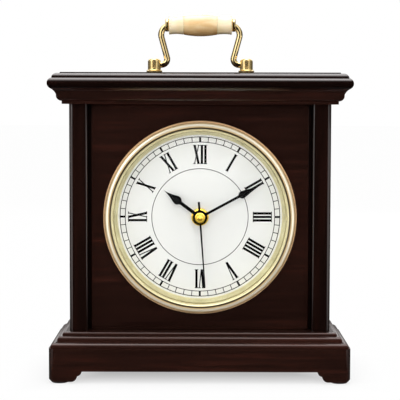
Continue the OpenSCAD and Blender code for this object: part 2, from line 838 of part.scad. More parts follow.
module inner_ring() color(brass_colour)
    on_arbor()
        rotate_extrude()
            polygon([[insert_r, glass_rim], [insert_r, dial_face], [dial_show_r, dial_face],
                [dial_show_r, dial_face + 0.3], [lip_r - 0.4, glass_rim]]);

module dial() color([0.97, 0.97, 0.95])
    on_arbor()
        translate([0, 0, movement_face])
            difference() {
                cylinder(h = dial_t, r = insert_r);
                translate([0, 0, -past]) cylinder(h = dial_t + 2 * past, r = bush_d / 2 + seat_play);
            }

module dial_retainer() color(black_colour)
    on_arbor()
        translate([0, 0, spigot_back])
            difference() {
                cylinder(h = retainer_t, r = insert_r);
                translate([0, 0, -past]) cylinder(h = retainer_t + 2 * past, r = insert_r - retainer_w);
            }

module centre_nut() color(brass_colour)
    on_arbor()
        translate([0, 0, dial_face])
            difference() {
                rotate_extrude()
                    polygon(concat([[0, 0], [nut_d / 2, 0]],
                        arc([nut_d / 2 - nut_edge_r, nut_t - nut_edge_r], nut_edge_r, 0, 90, 5),
                        [[0, nut_t]]));
                translate([0, 0, -past]) cylinder(h = nut_t + 2 * past, r = bush_d / 2);
            }

// Hands lie in local x and y with twelve along y; an angle turns them clockwise
module hand_at(angle, height)
    on_arbor() translate([0, 0, dial_face + height]) rotate([0, 0, -angle]) children();

// Outline of a pear hand: a stem, a round pear and a hollow taper to the tip
function pear_hand(stem, pear_at, pear_r, length, steps = 10) =
    let (taper_at = pear_at + pear_r * 0.34,
        taper = [for (i = [1:steps]) let (t = i / steps)
            [pear_r * pow(1 - t, 1.7) * 0.94 + 0.16 * (1 - t), taper_at + t * (length - taper_at)]],
        round_part = arc([0, pear_at], pear_r, -70, 20, 8))
    concat([[stem, 0], [stem, pear_at - pear_r * 0.94]], round_part, taper);

module pear_outline(stem, pear_at, pear_r, length) {
    half = pear_hand(stem, pear_at, pear_r, length);
    polygon(concat(half, reverse([for (p = half) [-p.x, p.y]])));
}

module hour_hand() color(black_colour)
    hand_at(hour_angle, hour_hand_at)
        difference() {
            union() {
                linear_extrude(hand_t) pear_outline(hour_stem, hour_pear_at, hour_pear_r, hour_len);
                cylinder(h = hub_t, r = hour_hub_r);
            }
            translate([0, 0, -past]) cylinder(h = hub_t + 2 * past, r = hour_tube_r);
        }

module minute_hand() color(black_colour)
    hand_at(minute_angle, minute_hand_at)
        difference() {
            union() {
                linear_extrude(hand_t) pear_outline(minute_stem, minute_pear_at, minute_pear_r, minute_len);
                cylinder(h = minute_hub_t, r = minute_hub_r);
            }
            translate([0, 0, -past]) cylinder(h = minute_hub_t + 2 * past, r = minute_tube_r);
        }

module second_hand() color(black_colour)
    hand_at(second_angle, second_hand_at)
        difference() {
            union() {
                linear_extrude(hand_t)
                    polygon([[-second_tail_w, -second_tail], [second_tail_w, -second_tail],
                        [second_tip_w, second_len], [-second_tip_w, second_len]]);
                cylinder(h = hand_t, r = second_disc_r);
                translate([0, 0, -second_collet]) cylinder(h = second_collet, r = second_collet_r);
            }
            translate([0, 0, -past]) cylinder(h = 3 * past, r = second_arbor_r);
        }

cap_rim_r = 0.9;
cap_shoulder = 1.5;
cap_swell = 0.6;
cap_bore = 1.4;

module hand_cap() color(brass_colour)
    hand_at(0, second_hand_at + hand_t)
        difference() {
            rotate_extrude()
                polygon(concat([[0, 0], [cap_d / 2 - 0.3, 0]],
                    arc([cap_d / 2 - cap_rim_r, cap_rim_r + 0.2], cap_rim_r, -30, 20, 4),
                    bow([cap_d / 2 - cap_swell, cap_shoulder],
                        [0, cap_front - second_hand_at - hand_t], cap_swell)));
            translate([0, 0, -past]) cylinder(h = past + cap_bore, r = second_arbor_r);
        }

// Movement. Local z is 0 at its front face and counts down towards the back
cover_split = 9;
movement_low = arbor_from_top - movement_h;
cell_y = movement_low + housing_wall + cell_d / 2 + 0.2;
cell_wall_y = cell_y + cell_d / 2 + 0.3;
cell_z = -(housing_wall + cell_d / 2 + 0.1);
pivot_r = 0.6;
pivot_depth = 1;
knob_arbor_r = 1.2;
knob_d = 9;
knob_t = 4;
knob_gap = 0.3;
knob_floor = 1;
knob_ridges = 24;
knob_ridge_h = 0.35;
knob_skirt = 0.8;
bush_front = dial_face - movement_face + nut_t + 0.3;

intermediate_at = motion_distance * [cos(200), sin(200)];
third_at = third_distance * [cos(10), sin(10)];
fifth_at = fifth_distance * [cos(130), sin(130)];
rotor_at = fifth_at + rotor_distance * [cos(200), sin(200)];

// Back faces of the wheels in their layers, counted back from the movement's front
hour_layer = 3.2;
cannon_layer = 5;
centre_layer = 6.6;
third_layer = 8.2;
second_layer = 9.8;
fifth_layer = 11.4;
wheel_t = 0.9;
pinion_t = 1.7;

module in_movement() on_arbor() translate([0, 0, movement_face]) children();

// Toothed wheel outline. A tooth, or with gap a space, points along the angle toward
module gear_outline(teeth, size, toward, gap = false) {
    pitch_r = size * teeth / 2;
    half = 90 / teeth - tooth_play / 4 / pitch_r * 180 / PI;
    tip_r = pitch_r + 0.85 * size;
    root_r = pitch_r - 1.15 * size;
    tip_half = half * (teeth < 12 ? 0.36 : 0.42);
    mid_half = half * (teeth < 12 ? 0.78 : 0.8);
    root_half = half * (teeth < 12 ? 1.05 : 1.3);
    turn = toward + (gap ? 180 / teeth : 0);
    flank = [[root_half, root_r], [half, pitch_r], [mid_half, pitch_r + 0.4 * size], [tip_half, tip_r]];
    polygon([for (i = [0:teeth - 1])
        for (p = concat([for (f = flank) [-f[0], f[1]]], [for (f = reverse(flank)) f]))
            let (a = turn + i * 360 / teeth + p[0]) p[1] * [cos(a), sin(a)]]);
}

// A wheel whose back face lies at depth back, with round windows when it is a large one
module wheel(teeth, size, toward, back, thick, windows = 0)
    translate([0, 0, -back])
        linear_extrude(thick)
            difference() {
                gear_outline(teeth, size, toward, true);
                for (i = [0:1:windows - 1])
                    rotate(360 / windows * (i + 0.5))
                        translate([size * teeth * 0.29, 0]) circle(r = size * teeth * 0.1, $fn = 32);
            }

module pinion(teeth, size, toward, back, thick)
    translate([0, 0, -back]) linear_extrude(thick) gear_outline(teeth, size, toward);

module arbor(back, front, r)
    translate([0, 0, -back]) cylinder(h = back - front, r = r);

arbor_back = movement_t - housing_wall + pivot_depth - 0.1;
arbor_front = housing_wall - pivot_depth + 0.1;

// Teeth of the train and of the motion work
rotor_teeth = 8;
fifth_teeth = 40;
fifth_pinion = 10;
second_teeth = 60;
second_pinion = 8;
third_teeth = 64;
third_pinion = 8;
centre_teeth = 60;
cannon_teeth = 10;
intermediate_teeth = 30;
intermediate_pinion = 8;
hour_teeth = 32;

function mesh_size(distance, a, b) = 2 * distance / (a + b);
function way_angle(p, q) = atan2(q.y - p.y, q.x - p.x);

motion_size = mesh_size(motion_distance, cannon_teeth, intermediate_teeth);
hour_size = mesh_size(motion_distance, intermediate_pinion, hour_teeth);
centre_size = mesh_size(third_distance, third_pinion, centre_teeth);
third_size = mesh_size(third_distance, second_pinion, third_teeth);
second_size = mesh_size(fifth_distance, fifth_pinion, second_teeth);
fifth_size = mesh_size(rotor_distance, rotor_teeth, fifth_teeth);

module hour_wheel() color(gear_colour)
    in_movement()
        difference() {
            union() {
                wheel(hour_teeth, hour_size, way_angle([0, 0], intermediate_at), hour_layer, 1.2);
                translate([0, 0, -hour_layer])
                    cylinder(h = hour_layer + dial_t + hour_hand_at + hub_t, r = hour_tube_r);
            }
            translate([0, 0, -hour_layer - past]) cylinder(h = movement_t, r = minute_tube_r + running);
        }

module centre_wheel() color(gear_colour)
    in_movement()
        difference() {
            union() {
                wheel(centre_teeth, centre_size, way_angle([0, 0], third_at), centre_layer, wheel_t, 5);
                pinion(cannon_teeth, motion_size, way_angle([0, 0], intermediate_at), centre_layer - wheel_t,
                    centre_layer - wheel_t - cannon_layer + 1.6);
                translate([0, 0, -centre_layer])
                    cylinder(h = centre_layer + dial_t + minute_hand_at + minute_hub_t, r = minute_tube_r);
            }
            translate([0, 0, -centre_layer - past])
                cylinder(h = 2 * movement_t, r = second_arbor_r + running);
        }

module intermediate_wheel() color(gear_colour)
    in_movement()
        translate([intermediate_at.x, intermediate_at.y, 0])
            union() {
                wheel(intermediate_teeth, motion_size, way_angle(intermediate_at, [0, 0]), cannon_layer,
                    wheel_t, 5);
                pinion(intermediate_pinion, hour_size, way_angle(intermediate_at, [0, 0]),
                    cannon_layer - wheel_t, cannon_layer - wheel_t - hour_layer + 1.3);
                arbor(cannon_layer, arbor_front, pivot_r);
                arbor(movement_t + knob_gap + knob_t - knob_floor, cannon_layer, knob_arbor_r);
            }

module setting_knob() color(black_colour)
    in_movement()
        translate([intermediate_at.x, intermediate_at.y, -movement_t - knob_gap - knob_t])
            difference() {
                union() {
                    linear_extrude(knob_t - knob_skirt)
                        polygon([for (i = [0:2 * knob_ridges - 1]) let (a = i * 180 / knob_ridges)
                            (knob_d / 2 - (i % 2) * knob_ridge_h) * [cos(a), sin(a)]]);
                    cylinder(h = knob_t, r = knob_d / 2 - knob_skirt);
                }
                translate([0, 0, knob_floor]) cylinder(h = knob_t, r = knob_arbor_r);
            }

module third_wheel() color(gear_colour)
    in_movement()
        translate([third_at.x, third_at.y, 0])
            union() {
                wheel(third_teeth, third_size, way_angle(third_at, [0, 0]), third_layer, wheel_t, 5);
                pinion(third_pinion, centre_size, way_angle(third_at, [0, 0]),
                    third_layer - wheel_t, pinion_t + 0.1);
                arbor(arbor_back, arbor_front, pivot_r);
            }

module second_wheel() color(gear_colour)
    in_movement()
        difference() {
            union() {
                wheel(second_teeth, second_size, way_angle([0, 0], fifth_at), second_layer, wheel_t, 5);
                pinion(second_pinion, third_size, way_angle([0, 0], third_at),
                    second_layer - wheel_t, pinion_t);
            }
            translate([0, 0, -movement_t]) cylinder(h = movement_t, r = second_arbor_r);
        }

module second_arbor() color(steel_colour)
    in_movement()
        arbor(arbor_back, -(dial_t + second_hand_at + hand_t + cap_bore - 0.1), second_arbor_r);

module fifth_wheel() color(gear_colour)
    in_movement()
        translate([fifth_at.x, fifth_at.y, 0])
            union() {
                wheel(fifth_teeth, fifth_size, way_angle(fifth_at, rotor_at), fifth_layer, wheel_t);
                pinion(fifth_pinion, second_size, way_angle(fifth_at, [0, 0]),
                    fifth_layer - wheel_t, pinion_t + 0.1);
                arbor(arbor_back, arbor_front, pivot_r);
            }

rotor_magnet_r = 2.9;
rotor_magnet_back = 9.4;
rotor_magnet_t = 3;
rotor_stem_r = 1.2;
rotor_gap = 0.5;

module rotor_pinion() color([0.35, 0.5, 0.7])
    in_movement()
        translate([rotor_at.x, rotor_at.y, 0])
            union() {
                pinion(rotor_teeth, fifth_size, way_angle(rotor_at, fifth_at), fifth_layer + 0.3, 1.6);
                arbor(fifth_layer - 1.3, rotor_magnet_back, rotor_stem_r);
                arbor(arbor_back, arbor_front, pivot_r);
            }

module rotor_magnet() color([0.25, 0.25, 0.28])
    in_movement()
        translate([rotor_at.x, rotor_at.y, -rotor_magnet_back])
            difference() {
                cylinder(h = rotor_magnet_t, r = rotor_magnet_r);
                translate([0, 0, -past]) cylinder(h = rotor_magnet_t + 2 * past, r = pivot_r);
            }

// Stator lamination: a pad with the rotor hole, a leg and a lower pad, bridged by the coil's core
coil_x = -(movement_w / 2 - housing_wall - 4);
coil_r = 3.2;
coil_low = -11;
coil_high = 2.5;
stator_back = 8.4;
stator_t = 1;
core_w = 2.4;
stator_left = coil_x - core_w;
stator_pad_h = 9;
stator_pad_right = rotor_at.x + 5.2;
stator_leg_w = 2.3;
stator_leg_x = -18.6;
stator_foot_h = 4;
stator_posts = [[-22.5, 9], [-24, -14]];
stator_post_r = 1.2;

module stator() color(steel_colour)
    in_movement()
        translate([0, 0, -stator_back])
            linear_extrude(stator_t)
                difference() {
                    union() {
                        translate([stator_left, coil_high + 1])
                            square([stator_pad_right - stator_left, stator_pad_h]);
                        translate([stator_leg_x, coil_low - stator_foot_h - 1])
                            square([stator_leg_w, coil_high - coil_low + stator_foot_h + 3]);
                        translate([stator_left, coil_low - stator_foot_h - 1])
                            square([stator_leg_x + stator_leg_w - stator_left, stator_foot_h]);
                    }
                    translate(rotor_at) circle(r = rotor_magnet_r + rotor_gap);
                    translate(fifth_at) circle(r = 2);
                }

module coil() color([0.72, 0.4, 0.2])
    in_movement()
        union() {
            translate([coil_x, coil_low, -stator_back - stator_t / 2])
                rotate([-90, 0, 0])
                    cylinder(h = coil_high - coil_low, r = coil_r);
            translate([coil_x - core_w / 2, coil_low - 4.4, -stator_back - stator_t])
                cube([core_w, coil_high - coil_low + 9, stator_t]);
        }

board_at = [-5, 10.2];
board_size = [29, 7.6];
board_back = 13.6;
board_t = 0.8;
chip_at = [4, 2];
chip_r = 1.8;
chip_t = 1;
crystal_at = 14;
crystal_r = 1.05;
crystal_len = 6.5;
board_post_w = 4;

module circuit_board() color([0.15, 0.4, 0.2])
    in_movement()
        translate([board_at.x, board_at.y, -board_back])
            union() {
                cube([board_size.x, board_size.y, board_t]);
                translate([chip_at.x, chip_at.y, board_t]) cylinder(h = chip_t, r = chip_r);
            }

module quartz_crystal() color(steel_colour)
    in_movement()
        translate([board_at.x + crystal_at, board_at.y + board_size.y / 2, -board_back + board_t + crystal_r])
            rotate([0, 90, 0])
                cylinder(h = crystal_len, r = crystal_r);

cell_nub_h = 1;
cell_nub_d = 5.4;
contact_t = 0.5;
contact_w = 9;
cell_window_in = 0.4;
cell_window_end = 0.6;

module cell() color([0.75, 0.75, 0.78])
    in_movement()
        translate([-(cell_len + cell_nub_h) / 2, cell_y, cell_z])
            rotate([0, 90, 0])
                union() {
                    cylinder(h = cell_len, d = cell_d);
                    cylinder(h = cell_len + cell_nub_h, d = cell_nub_d);
                }

module cell_contacts() color(steel_colour)
    in_movement()
        for (side = [-1, 1])
            translate([side * (movement_w / 2 - housing_wall - contact_t / 2), cell_y, cell_z])
                cube([contact_t, contact_w, contact_w], center = true);

// Outside and inside of the movement's two half shells, between two depths
module housing_box(top, bottom)
    translate([-movement_w / 2, movement_low, -bottom]) cube([movement_w, movement_h, bottom - top]);

module housing_room(top, bottom)
    translate([-movement_w / 2 + housing_wall, movement_low + housing_wall, -bottom])
        cube([movement_w - 2 * housing_wall, movement_h - 2 * housing_wall, bottom - top]);

module pivot_holes(depth_from, depth_to)
    for (at = [third_at, fifth_at, rotor_at])
        translate([at.x, at.y, -depth_to]) cylinder(h = depth_to - depth_from, r = pivot_r + running);

module movement_front() color(black_colour)
    in_movement()
        difference() {
            union() {
                difference() {
                    housing_box(0, cover_split);
                    housing_room(housing_wall, cover_split + past);
                }
                translate([-movement_w / 2, cell_wall_y, -cover_split])
                    cube([movement_w, housing_wall, cover_split]);
                for (at = stator_posts)
                    translate([at.x, at.y, stator_t - stator_back])
                        cylinder(h = stator_back - stator_t, r = stator_post_r);
                cylinder(h = bush_front, d = bush_d);
            }
            translate([0, 0, -movement_t]) cylinder(h = 2 * movement_t, r = hour_tube_r + running);
            pivot_holes(housing_wall - pivot_depth, housing_wall + past);
            translate([intermediate_at.x, intermediate_at.y, -housing_wall - past])
                cylinder(h = pivot_depth + past, r = pivot_r + running);
        }

module movement_cover() color(black_colour)
    in_movement()
        difference() {
            union() {
                difference() {
                    housing_box(cover_split, movement_t);
                    housing_room(cover_split - past, movement_t - housing_wall);
                }
                translate([-movement_w / 2, cell_wall_y, -movement_t])
                    cube([movement_w, housing_wall, movement_t - cover_split]);
                translate([board_at.x + (board_size.x - board_post_w) / 2,
                    board_at.y + (board_size.y - board_post_w) / 2, -movement_t + housing_wall])
                    cube([board_post_w, board_post_w, movement_t - housing_wall - board_back]);
            }
            translate([-cell_len / 2 - cell_window_end, cell_y - cell_d / 2 + cell_window_in,
                -movement_t - past])
                cube([cell_len + 2 * cell_window_end, cell_d - 2 * cell_window_in, 3 * past]);
            pivot_holes(movement_t - housing_wall - past, movement_t - housing_wall + pivot_depth);
            translate([0, 0, -movement_t + housing_wall - pivot_depth])
                cylinder(h = pivot_depth + past, r = second_arbor_r + running);
            translate([intermediate_at.x, intermediate_at.y, -movement_t - past])
                cylinder(h = housing_wall + 2 * past, r = knob_arbor_r + running);
        }

crown_board();
ogee_board();
left_side();
right_side();
front_panel();
step_board();
plinth_front();
plinth_left();
plinth_right();
plinth_back();
foot_pads();
glue_blocks();
plinth_blocks();
back_door();
case_hinge_leaves();
door_hinge_leaves();
hinge_pins();
case_hinge_screws();
door_hinge_screws();
door_stop();
catch_magnet();
catch_plate();
left_post();
right_post();
post_washers();
post_nuts();
left_arm();
right_arm();
grip_stud();
grip_barrel();
grip_ends();
bezel();
bezel_gasket();
glass();
inner_ring();
dial();
dial_retainer();
centre_nut();
hour_hand();
minute_hand();
second_hand();
hand_cap();
movement_front();
movement_cover();
setting_knob();
cell();
cell_contacts();
circuit_board();
quartz_crystal();
coil();
stator();
rotor_magnet();
rotor_pinion();
fifth_wheel();
second_wheel();
second_arbor();
third_wheel();
centre_wheel();
intermediate_wheel();
hour_wheel();
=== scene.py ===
"""Looks of the table clock: camera, lamps, materials, the dial's print, floor and world.

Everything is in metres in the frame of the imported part: x to the right, y away from the
viewer, z up, with the clock standing on z = 0. Colours are linear.
"""

import math

import bmesh
import bpy
from mathutils import Matrix, Vector


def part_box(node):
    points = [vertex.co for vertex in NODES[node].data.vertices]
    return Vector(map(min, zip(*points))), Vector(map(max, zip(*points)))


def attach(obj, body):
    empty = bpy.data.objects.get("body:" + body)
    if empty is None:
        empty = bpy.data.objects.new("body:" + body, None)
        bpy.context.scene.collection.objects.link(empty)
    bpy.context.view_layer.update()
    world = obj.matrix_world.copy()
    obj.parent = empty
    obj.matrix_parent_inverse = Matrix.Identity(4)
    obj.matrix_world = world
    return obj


MM = 0.001
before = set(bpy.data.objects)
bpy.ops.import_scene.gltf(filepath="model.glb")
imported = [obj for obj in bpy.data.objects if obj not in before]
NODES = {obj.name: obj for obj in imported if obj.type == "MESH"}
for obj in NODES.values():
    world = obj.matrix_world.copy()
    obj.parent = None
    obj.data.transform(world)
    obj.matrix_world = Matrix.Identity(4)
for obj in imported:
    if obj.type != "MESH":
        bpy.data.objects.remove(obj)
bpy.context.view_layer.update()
scene = bpy.context.scene


# Places read from the frame


def middle(node):
    """The middle of a node's box."""
    low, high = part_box(node)
    return (low + high) / 2


# Where the axis of the hands passes through the dial's face, the grip's axis and half its barrel's
# length, and the height of the top board
ARBOR = Vector((middle("dial").x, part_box("dial")[0].y, middle("dial").z))
GRIP_Z = middle("grip_barrel").z
GRIP_HALF = (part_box("grip_barrel")[1].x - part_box("grip_barrel")[0].x) / 2
CROWN_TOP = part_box("crown_board")[1].z


# Camera: its picture and lens, where it stands, how far it looks down, how it leans, and the
# nearest and farthest that it sees
IMAGE_SIDE_PX = 400
SENSOR_MM = 36.0
FOCAL_PX = 1378.0
CAMERA_AT = (0.0, -0.933, 0.1813)
CAMERA_DOWN_DEG = 3.9
CAMERA_ROLL_DEG = 0.15
CAMERA_NEAR = 0.01
CAMERA_FAR = 100


def add_camera():
    data = bpy.data.cameras.new("camera")
    data.sensor_width = SENSOR_MM
    data.lens = SENSOR_MM * FOCAL_PX / IMAGE_SIDE_PX
    data.clip_start = CAMERA_NEAR
    data.clip_end = CAMERA_FAR
    camera = bpy.data.objects.new("camera", data)
    scene.collection.objects.link(camera)
    tilt = Matrix.Rotation(math.radians(90 - CAMERA_DOWN_DEG), 4, "X")
    roll = Matrix.Rotation(math.radians(CAMERA_ROLL_DEG), 4, "Z")
    camera.matrix_world = Matrix.Translation(CAMERA_AT) @ tilt @ roll
    scene.camera = camera


# Softboxes: where each stands, the point it faces, its width and height, and its watts
CLOCK_MIDDLE = (0, 0, 0.1)
LAMPS = {
    "top_light": ((0, -0.30, 1.25), (0, -0.2, 0.1), (1.3, 1.25), 12),
    "left_light": ((-1.15, -0.75, 0.55), CLOCK_MIDDLE, (0.6, 1.1), 4),
    "right_light": ((1.15, -0.75, 0.55), CLOCK_MIDDLE, (0.5, 1.0), 2.5),
    "front_light": ((0, -1.3, 0.6), CLOCK_MIDDLE, (1.0, 0.8), 10),
    "back_light": ((0.35, 1.3, 0.55), CLOCK_MIDDLE, (1.0, 0.8), 9),
}


def add_lamps():
    """Lamps for matt surfaces. What polished ones show of a room is in the world's shader."""
    for name, (at, aim, size, watts) in LAMPS.items():
        data = bpy.data.lights.new(name, "AREA")
        data.shape = "RECTANGLE"
        data.size, data.size_y = size
        data.energy = watts
        lamp = bpy.data.objects.new(name, data)
        lamp.visible_glossy = False
        scene.collection.objects.link(lamp)
        lamp.location = at
        lamp.rotation_euler = (Vector(aim) - Vector(at)).to_track_quat("-Z", "Y").to_euler()


# Small tools for shaders

# Most of a noise texture's values lie between these
NOISE = (0.3, 0.7)
# How strong a crevice is where it is deepest, and the shares of open space between which it fades
CREVICE_MOST = 0.85
CREVICE_OPEN = (0.25, 0.75)


def scaled(colour, share):
    """A darker or lighter shade of a colour."""
    return tuple(part * share for part in colour)


class Nodes:
    """Short calls that add nodes to a shader's tree."""

    def __init__(self, tree):
        self.tree = tree

    def node(self, kind, **settings):
        made = self.tree.nodes.new(kind)
        for key, value in settings.items():
            setattr(made, key, value)
        return made

    def join(self, source, target):
        self.tree.links.new(source, target)

    def feed(self, value, socket):
        """A number, colour or socket goes into a socket."""
        if isinstance(value, bpy.types.NodeSocket):
            self.join(value, socket)
        elif socket.type == "RGBA":
            socket.default_value = (*value, 1)
        else:
            socket.default_value = value

    def fill(self, made, **values):
        """Numbers, colours or sockets go into a node: from_min=... into its From Min."""
        for key, value in values.items():
            title = key.replace("_", " ").title().replace("Ior", "IOR")
            self.feed(value, made.inputs[title])
        return made

    def span(self, value, ends, results=(0.0, 1.0)):
        """Turns the stretch between the ends into the results, and holds those beyond it."""
        made = self.fill(
            self.node("ShaderNodeMapRange"),
            value=value,
            from_min=ends[0],
            from_max=ends[1],
            to_min=results[0],
            to_max=results[1],
        )
        return made.outputs["Result"]

    def math(self, operation, *values):
        made = self.node("ShaderNodeMath", operation=operation)
        for value, socket in zip(values, made.inputs):
            self.feed(value, socket)
        return made.outputs[0]

    def times(self, a, b):
        return self.math("MULTIPLY", a, b)

    def total(self, *parts):
        """Adds up pairs of (value, share)."""
        shares = [self.times(value, share) for value, share in parts]
        result = shares[0]
        for value in shares[1:]:
            result = self.math("ADD", result, value)
        return result

    def split(self, vector):
        """The x, y and z of a vector."""
        made = self.fill(self.node("ShaderNodeSeparateXYZ"), vector=vector)
        return [made.outputs[title] for title in "XYZ"]

    def ramp(self, value, *stops):
        """A colour ramp of (position, colour) stops."""
        made = self.node("ShaderNodeValToRGB")
        self.join(value, made.inputs["Fac"])
        elements = made.color_ramp.elements
        while len(elements) < len(stops):
            elements.new(0.5)
        for element, (at, colour) in zip(elements, stops):
            element.position = at
            element.color = (*colour, 1)
        return made.outputs["Color"]

    def blend(self, share, a, b):
        """Shader a where share is 0 and shader b where it is 1."""
        made = self.node("ShaderNodeMixShader")
        for value, socket in zip((share, a, b), made.inputs):
            self.join(value, socket)
        return made.outputs[0]


class Look(Nodes):
    """A material with one principled shader, and what its colour can depend on."""

    def __init__(self, name):
        self.material = bpy.data.materials.new(name)
        self.material.use_nodes = True
        super().__init__(self.material.node_tree)
        self.shader = self.tree.nodes["Principled BSDF"]
        self.surface = self.tree.nodes["Material Output"].inputs["Surface"]
        # Places on the piece, in metres
        self.place = self.node("ShaderNodeTexCoord").outputs["Object"]

    def set(self, **values):
        """Numbers, colours or sockets go into the shader: base_color=... into its Base Color."""
        self.fill(self.shader, **values)

    def moved(self, scale=(1, 1, 1), shift=(0, 0, 0), turn=(0, 0, 0)):
        """Places on the piece, stretched, moved and turned."""
        made = self.node("ShaderNodeMapping")
        self.fill(made, vector=self.place, scale=scale, location=shift, rotation=turn)
        return made.outputs["Vector"]

    def noise(self, vector, scale, detail, rough, warp=0.0):
        made = self.node("ShaderNodeTexNoise")
        self.fill(made, vector=vector, scale=scale, detail=detail, roughness=rough, distortion=warp)
        return made.outputs["Fac"]

    def clouds(self, noise, weak, strong):
        """The first colour where a noise is weak and the second where it is strong."""
        return self.ramp(noise, (NOISE[0], weak), (NOISE[1], strong))

    def mix(self, share, a, b):
        """Colour a where share is 0 and colour b where it is 1."""
        made = self.node("ShaderNodeMix", data_type="RGBA")
        self.feed(share, made.inputs["Factor"])
        for value, socket in zip((a, b), [s for s in made.inputs if s.type == "RGBA"]):
            self.feed(value, socket)
        return next(s for s in made.outputs if s.type == "RGBA")

    def bump(self, height, depth, strength):
        """The surface's direction where a relief of heights from 0 to 1 is this deep."""
        made = self.node("ShaderNodeBump")
        self.fill(made, height=height, distance=depth, strength=strength)
        return made.outputs["Normal"]

    def height(self):
        """Height on the piece."""
        return self.split(self.place)[2]

    def off_middle(self):
        """Distance from the clock's middle plane, to the left or right."""
        return self.math("ABSOLUTE", self.split(self.place)[0])

    def vector_math(self, operation, *values):
        made = self.node("ShaderNodeVectorMath", operation=operation)
        for value, socket in zip(values, made.inputs):
            self.feed(value, socket)
        return made

    def arbor_distance(self):
        """Distance from the axis of the hands."""
        off = self.vector_math("SUBTRACT", self.place, ARBOR).outputs["Vector"]
        flat = self.vector_math("MULTIPLY", off, (1, 0, 1)).outputs["Vector"]
        return self.vector_math("LENGTH", flat).outputs["Value"]

    def crevice(self, reach, alone=False):
        """CREVICE_MOST deep in corners and grooves, 0 in the open: how shut in a place is by nearby
        faces.

        Alone leaves out the corners that a piece makes with its neighbours.
        """
        hollow = self.node("ShaderNodeAmbientOcclusion", samples=8, only_local=alone)
        self.fill(hollow, distance=reach)
        return self.span(hollow.outputs["AO"], CREVICE_OPEN, (CREVICE_MOST, 0.0))

    def edges(self, radius, reach):
        """1 on sharp outside and inside edges, 0 on flat faces."""
        bevel = self.fill(self.node("ShaderNodeBevel", samples=4), radius=radius)
        flat = self.node("ShaderNodeNewGeometry").outputs["Normal"]
        dot = self.vector_math("DOT_PRODUCT", bevel.outputs["Normal"], flat)
        return self.span(dot.outputs["Value"], (1 - reach, 1.0), (1.0, 0.0))


# Wood

# The soft reddish shine of the stained wood under its lacquer
STAIN_SHEEN = (1.0, 0.42, 0.34)
# How far one more seed moves a board's figure
SEED_STEP = (0.37, 0.53, 0.71)
# The scales along a board that draw out its figure and its finer grain
FIGURE_DRAWN = 0.25
GRAIN_DRAWN = 0.045
# How strongly pores and worn edges show
PORES_SHOW = 0.55
WEAR_SHOWS = 0.45
# How deep a pore is beside the fibres' relief
PORE_DEPTH = 0.8
# Shades of the dark colour: in its dark streaks, in pores, as painted shade in corners, grooves and
# on the crown's top edge, and on worn edges
STREAK_SHADE = 0.55
PORE_SHADE = 0.25
PAINTED_SHADE_SHARE = 0.12
WORN_SHADE = 1.25
# The painted dark line of shade above a rim: how soon it is complete, and how dark it gets
RIM_BLUR = 0.1 * MM
RIM_MOST = 0.96


def drawn_out(along, share):
    """Scales that draw a pattern out along one axis."""
    return tuple(share if axis == along else 1.0 for axis in "xyz")


def wood_look(name, along, seed, dark, red, gloss, pores=1.0, rim=None):
    """Stained hardwood with its grain along one axis. Each board has its own seed.

    Above the height rim, in metres, it is painted dark and dull, a painted line of shade.
    """
    look = Look(name)
    shift = tuple(seed * step for step in SEED_STEP)
    long_place = look.moved(drawn_out(along, FIGURE_DRAWN), shift)
    figure = look.noise(long_place, scale=26, detail=3, rough=0.55, warp=0.6)
    place = look.moved(drawn_out(along, GRAIN_DRAWN), shift)
    band = look.noise(place, scale=150, detail=3, rough=0.6, warp=0.3)
    fibre = look.noise(place, scale=420, detail=4, rough=0.6)
    streak = look.noise(place, scale=1100, detail=3, rough=0.7)
    tone = look.total((figure, 0.26), (band, 0.40), (fibre, 0.34))
    colour = look.ramp(tone, (0.36, scaled(dark, STREAK_SHADE)), (0.50, dark), (0.64, red))
    pore = look.span(streak, (0.60, 0.72))
    share = look.times(pore, PORES_SHOW * pores)
    colour = look.mix(share, colour, scaled(dark, PORE_SHADE))
    worn = look.edges(radius=0.9 * MM, reach=0.16)
    colour = look.mix(look.times(worn, WEAR_SHOWS), colour, scaled(red, WORN_SHADE))
    # Painted shade: darker colour and less coat in corners, grooves and gaps beside other pieces
    painted_shade = look.crevice(reach=5 * MM)
    # Painted shade: a dark, dull line along the crown board's top edge
    if rim:
        edge = look.span(look.height(), (rim, rim + RIM_BLUR), (0.0, RIM_MOST))
        painted_shade = look.math("MAXIMUM", painted_shade, edge)
    look.set(base_color=look.mix(painted_shade, colour, scaled(dark, PAINTED_SHADE_SHARE)))
    relief = look.math("SUBTRACT", fibre, look.times(pore, PORE_DEPTH))
    look.set(normal=look.bump(relief, depth=0.02 * MM, strength=0.5))
    # A half dull board shines more by itself than a bare or a fully lacquered one
    look.set(specular_ior_level=0.17 + 0.8 * gloss * (1 - gloss))
    if gloss:
        lacquer(look, gloss, painted_shade)
    else:
        look.set(roughness=look.span(fibre, NOISE, (0.42, 0.55)))
    return look.material


def lacquer(look, gloss, painted_shade):
    """A slightly wavy and dusty clear coat, taken away where shade is painted."""
    skin = look.noise(look.place, scale=260, detail=2, rough=0.5)
    dust = look.noise(look.place, scale=40, detail=3, rough=0.6)
    look.set(coat_weight=look.math("SUBTRACT", gloss, look.times(painted_shade, gloss)))
    look.set(coat_ior=1.65, coat_roughness=0.07)
    look.set(coat_normal=look.bump(skin, depth=0.012 * MM, strength=0.35))
    look.set(roughness=look.span(dust, (0.35, 0.7), (0.40, 0.52)), specular_tint=STAIN_SHEEN)


# Metals

STEEL = (0.55, 0.55, 0.57)
# How much the painted bands of highlight and shade cover a brass piece's own colour
PAINTED_BANDS_SHARE = 0.94
# How much less metallic and how much rougher brass is in a hollow
HOLLOW_DULL = 0.4
HOLLOW_ROUGH = 0.5
# How much rougher its cloudy places are
CLOUD_ROUGH = 0.07


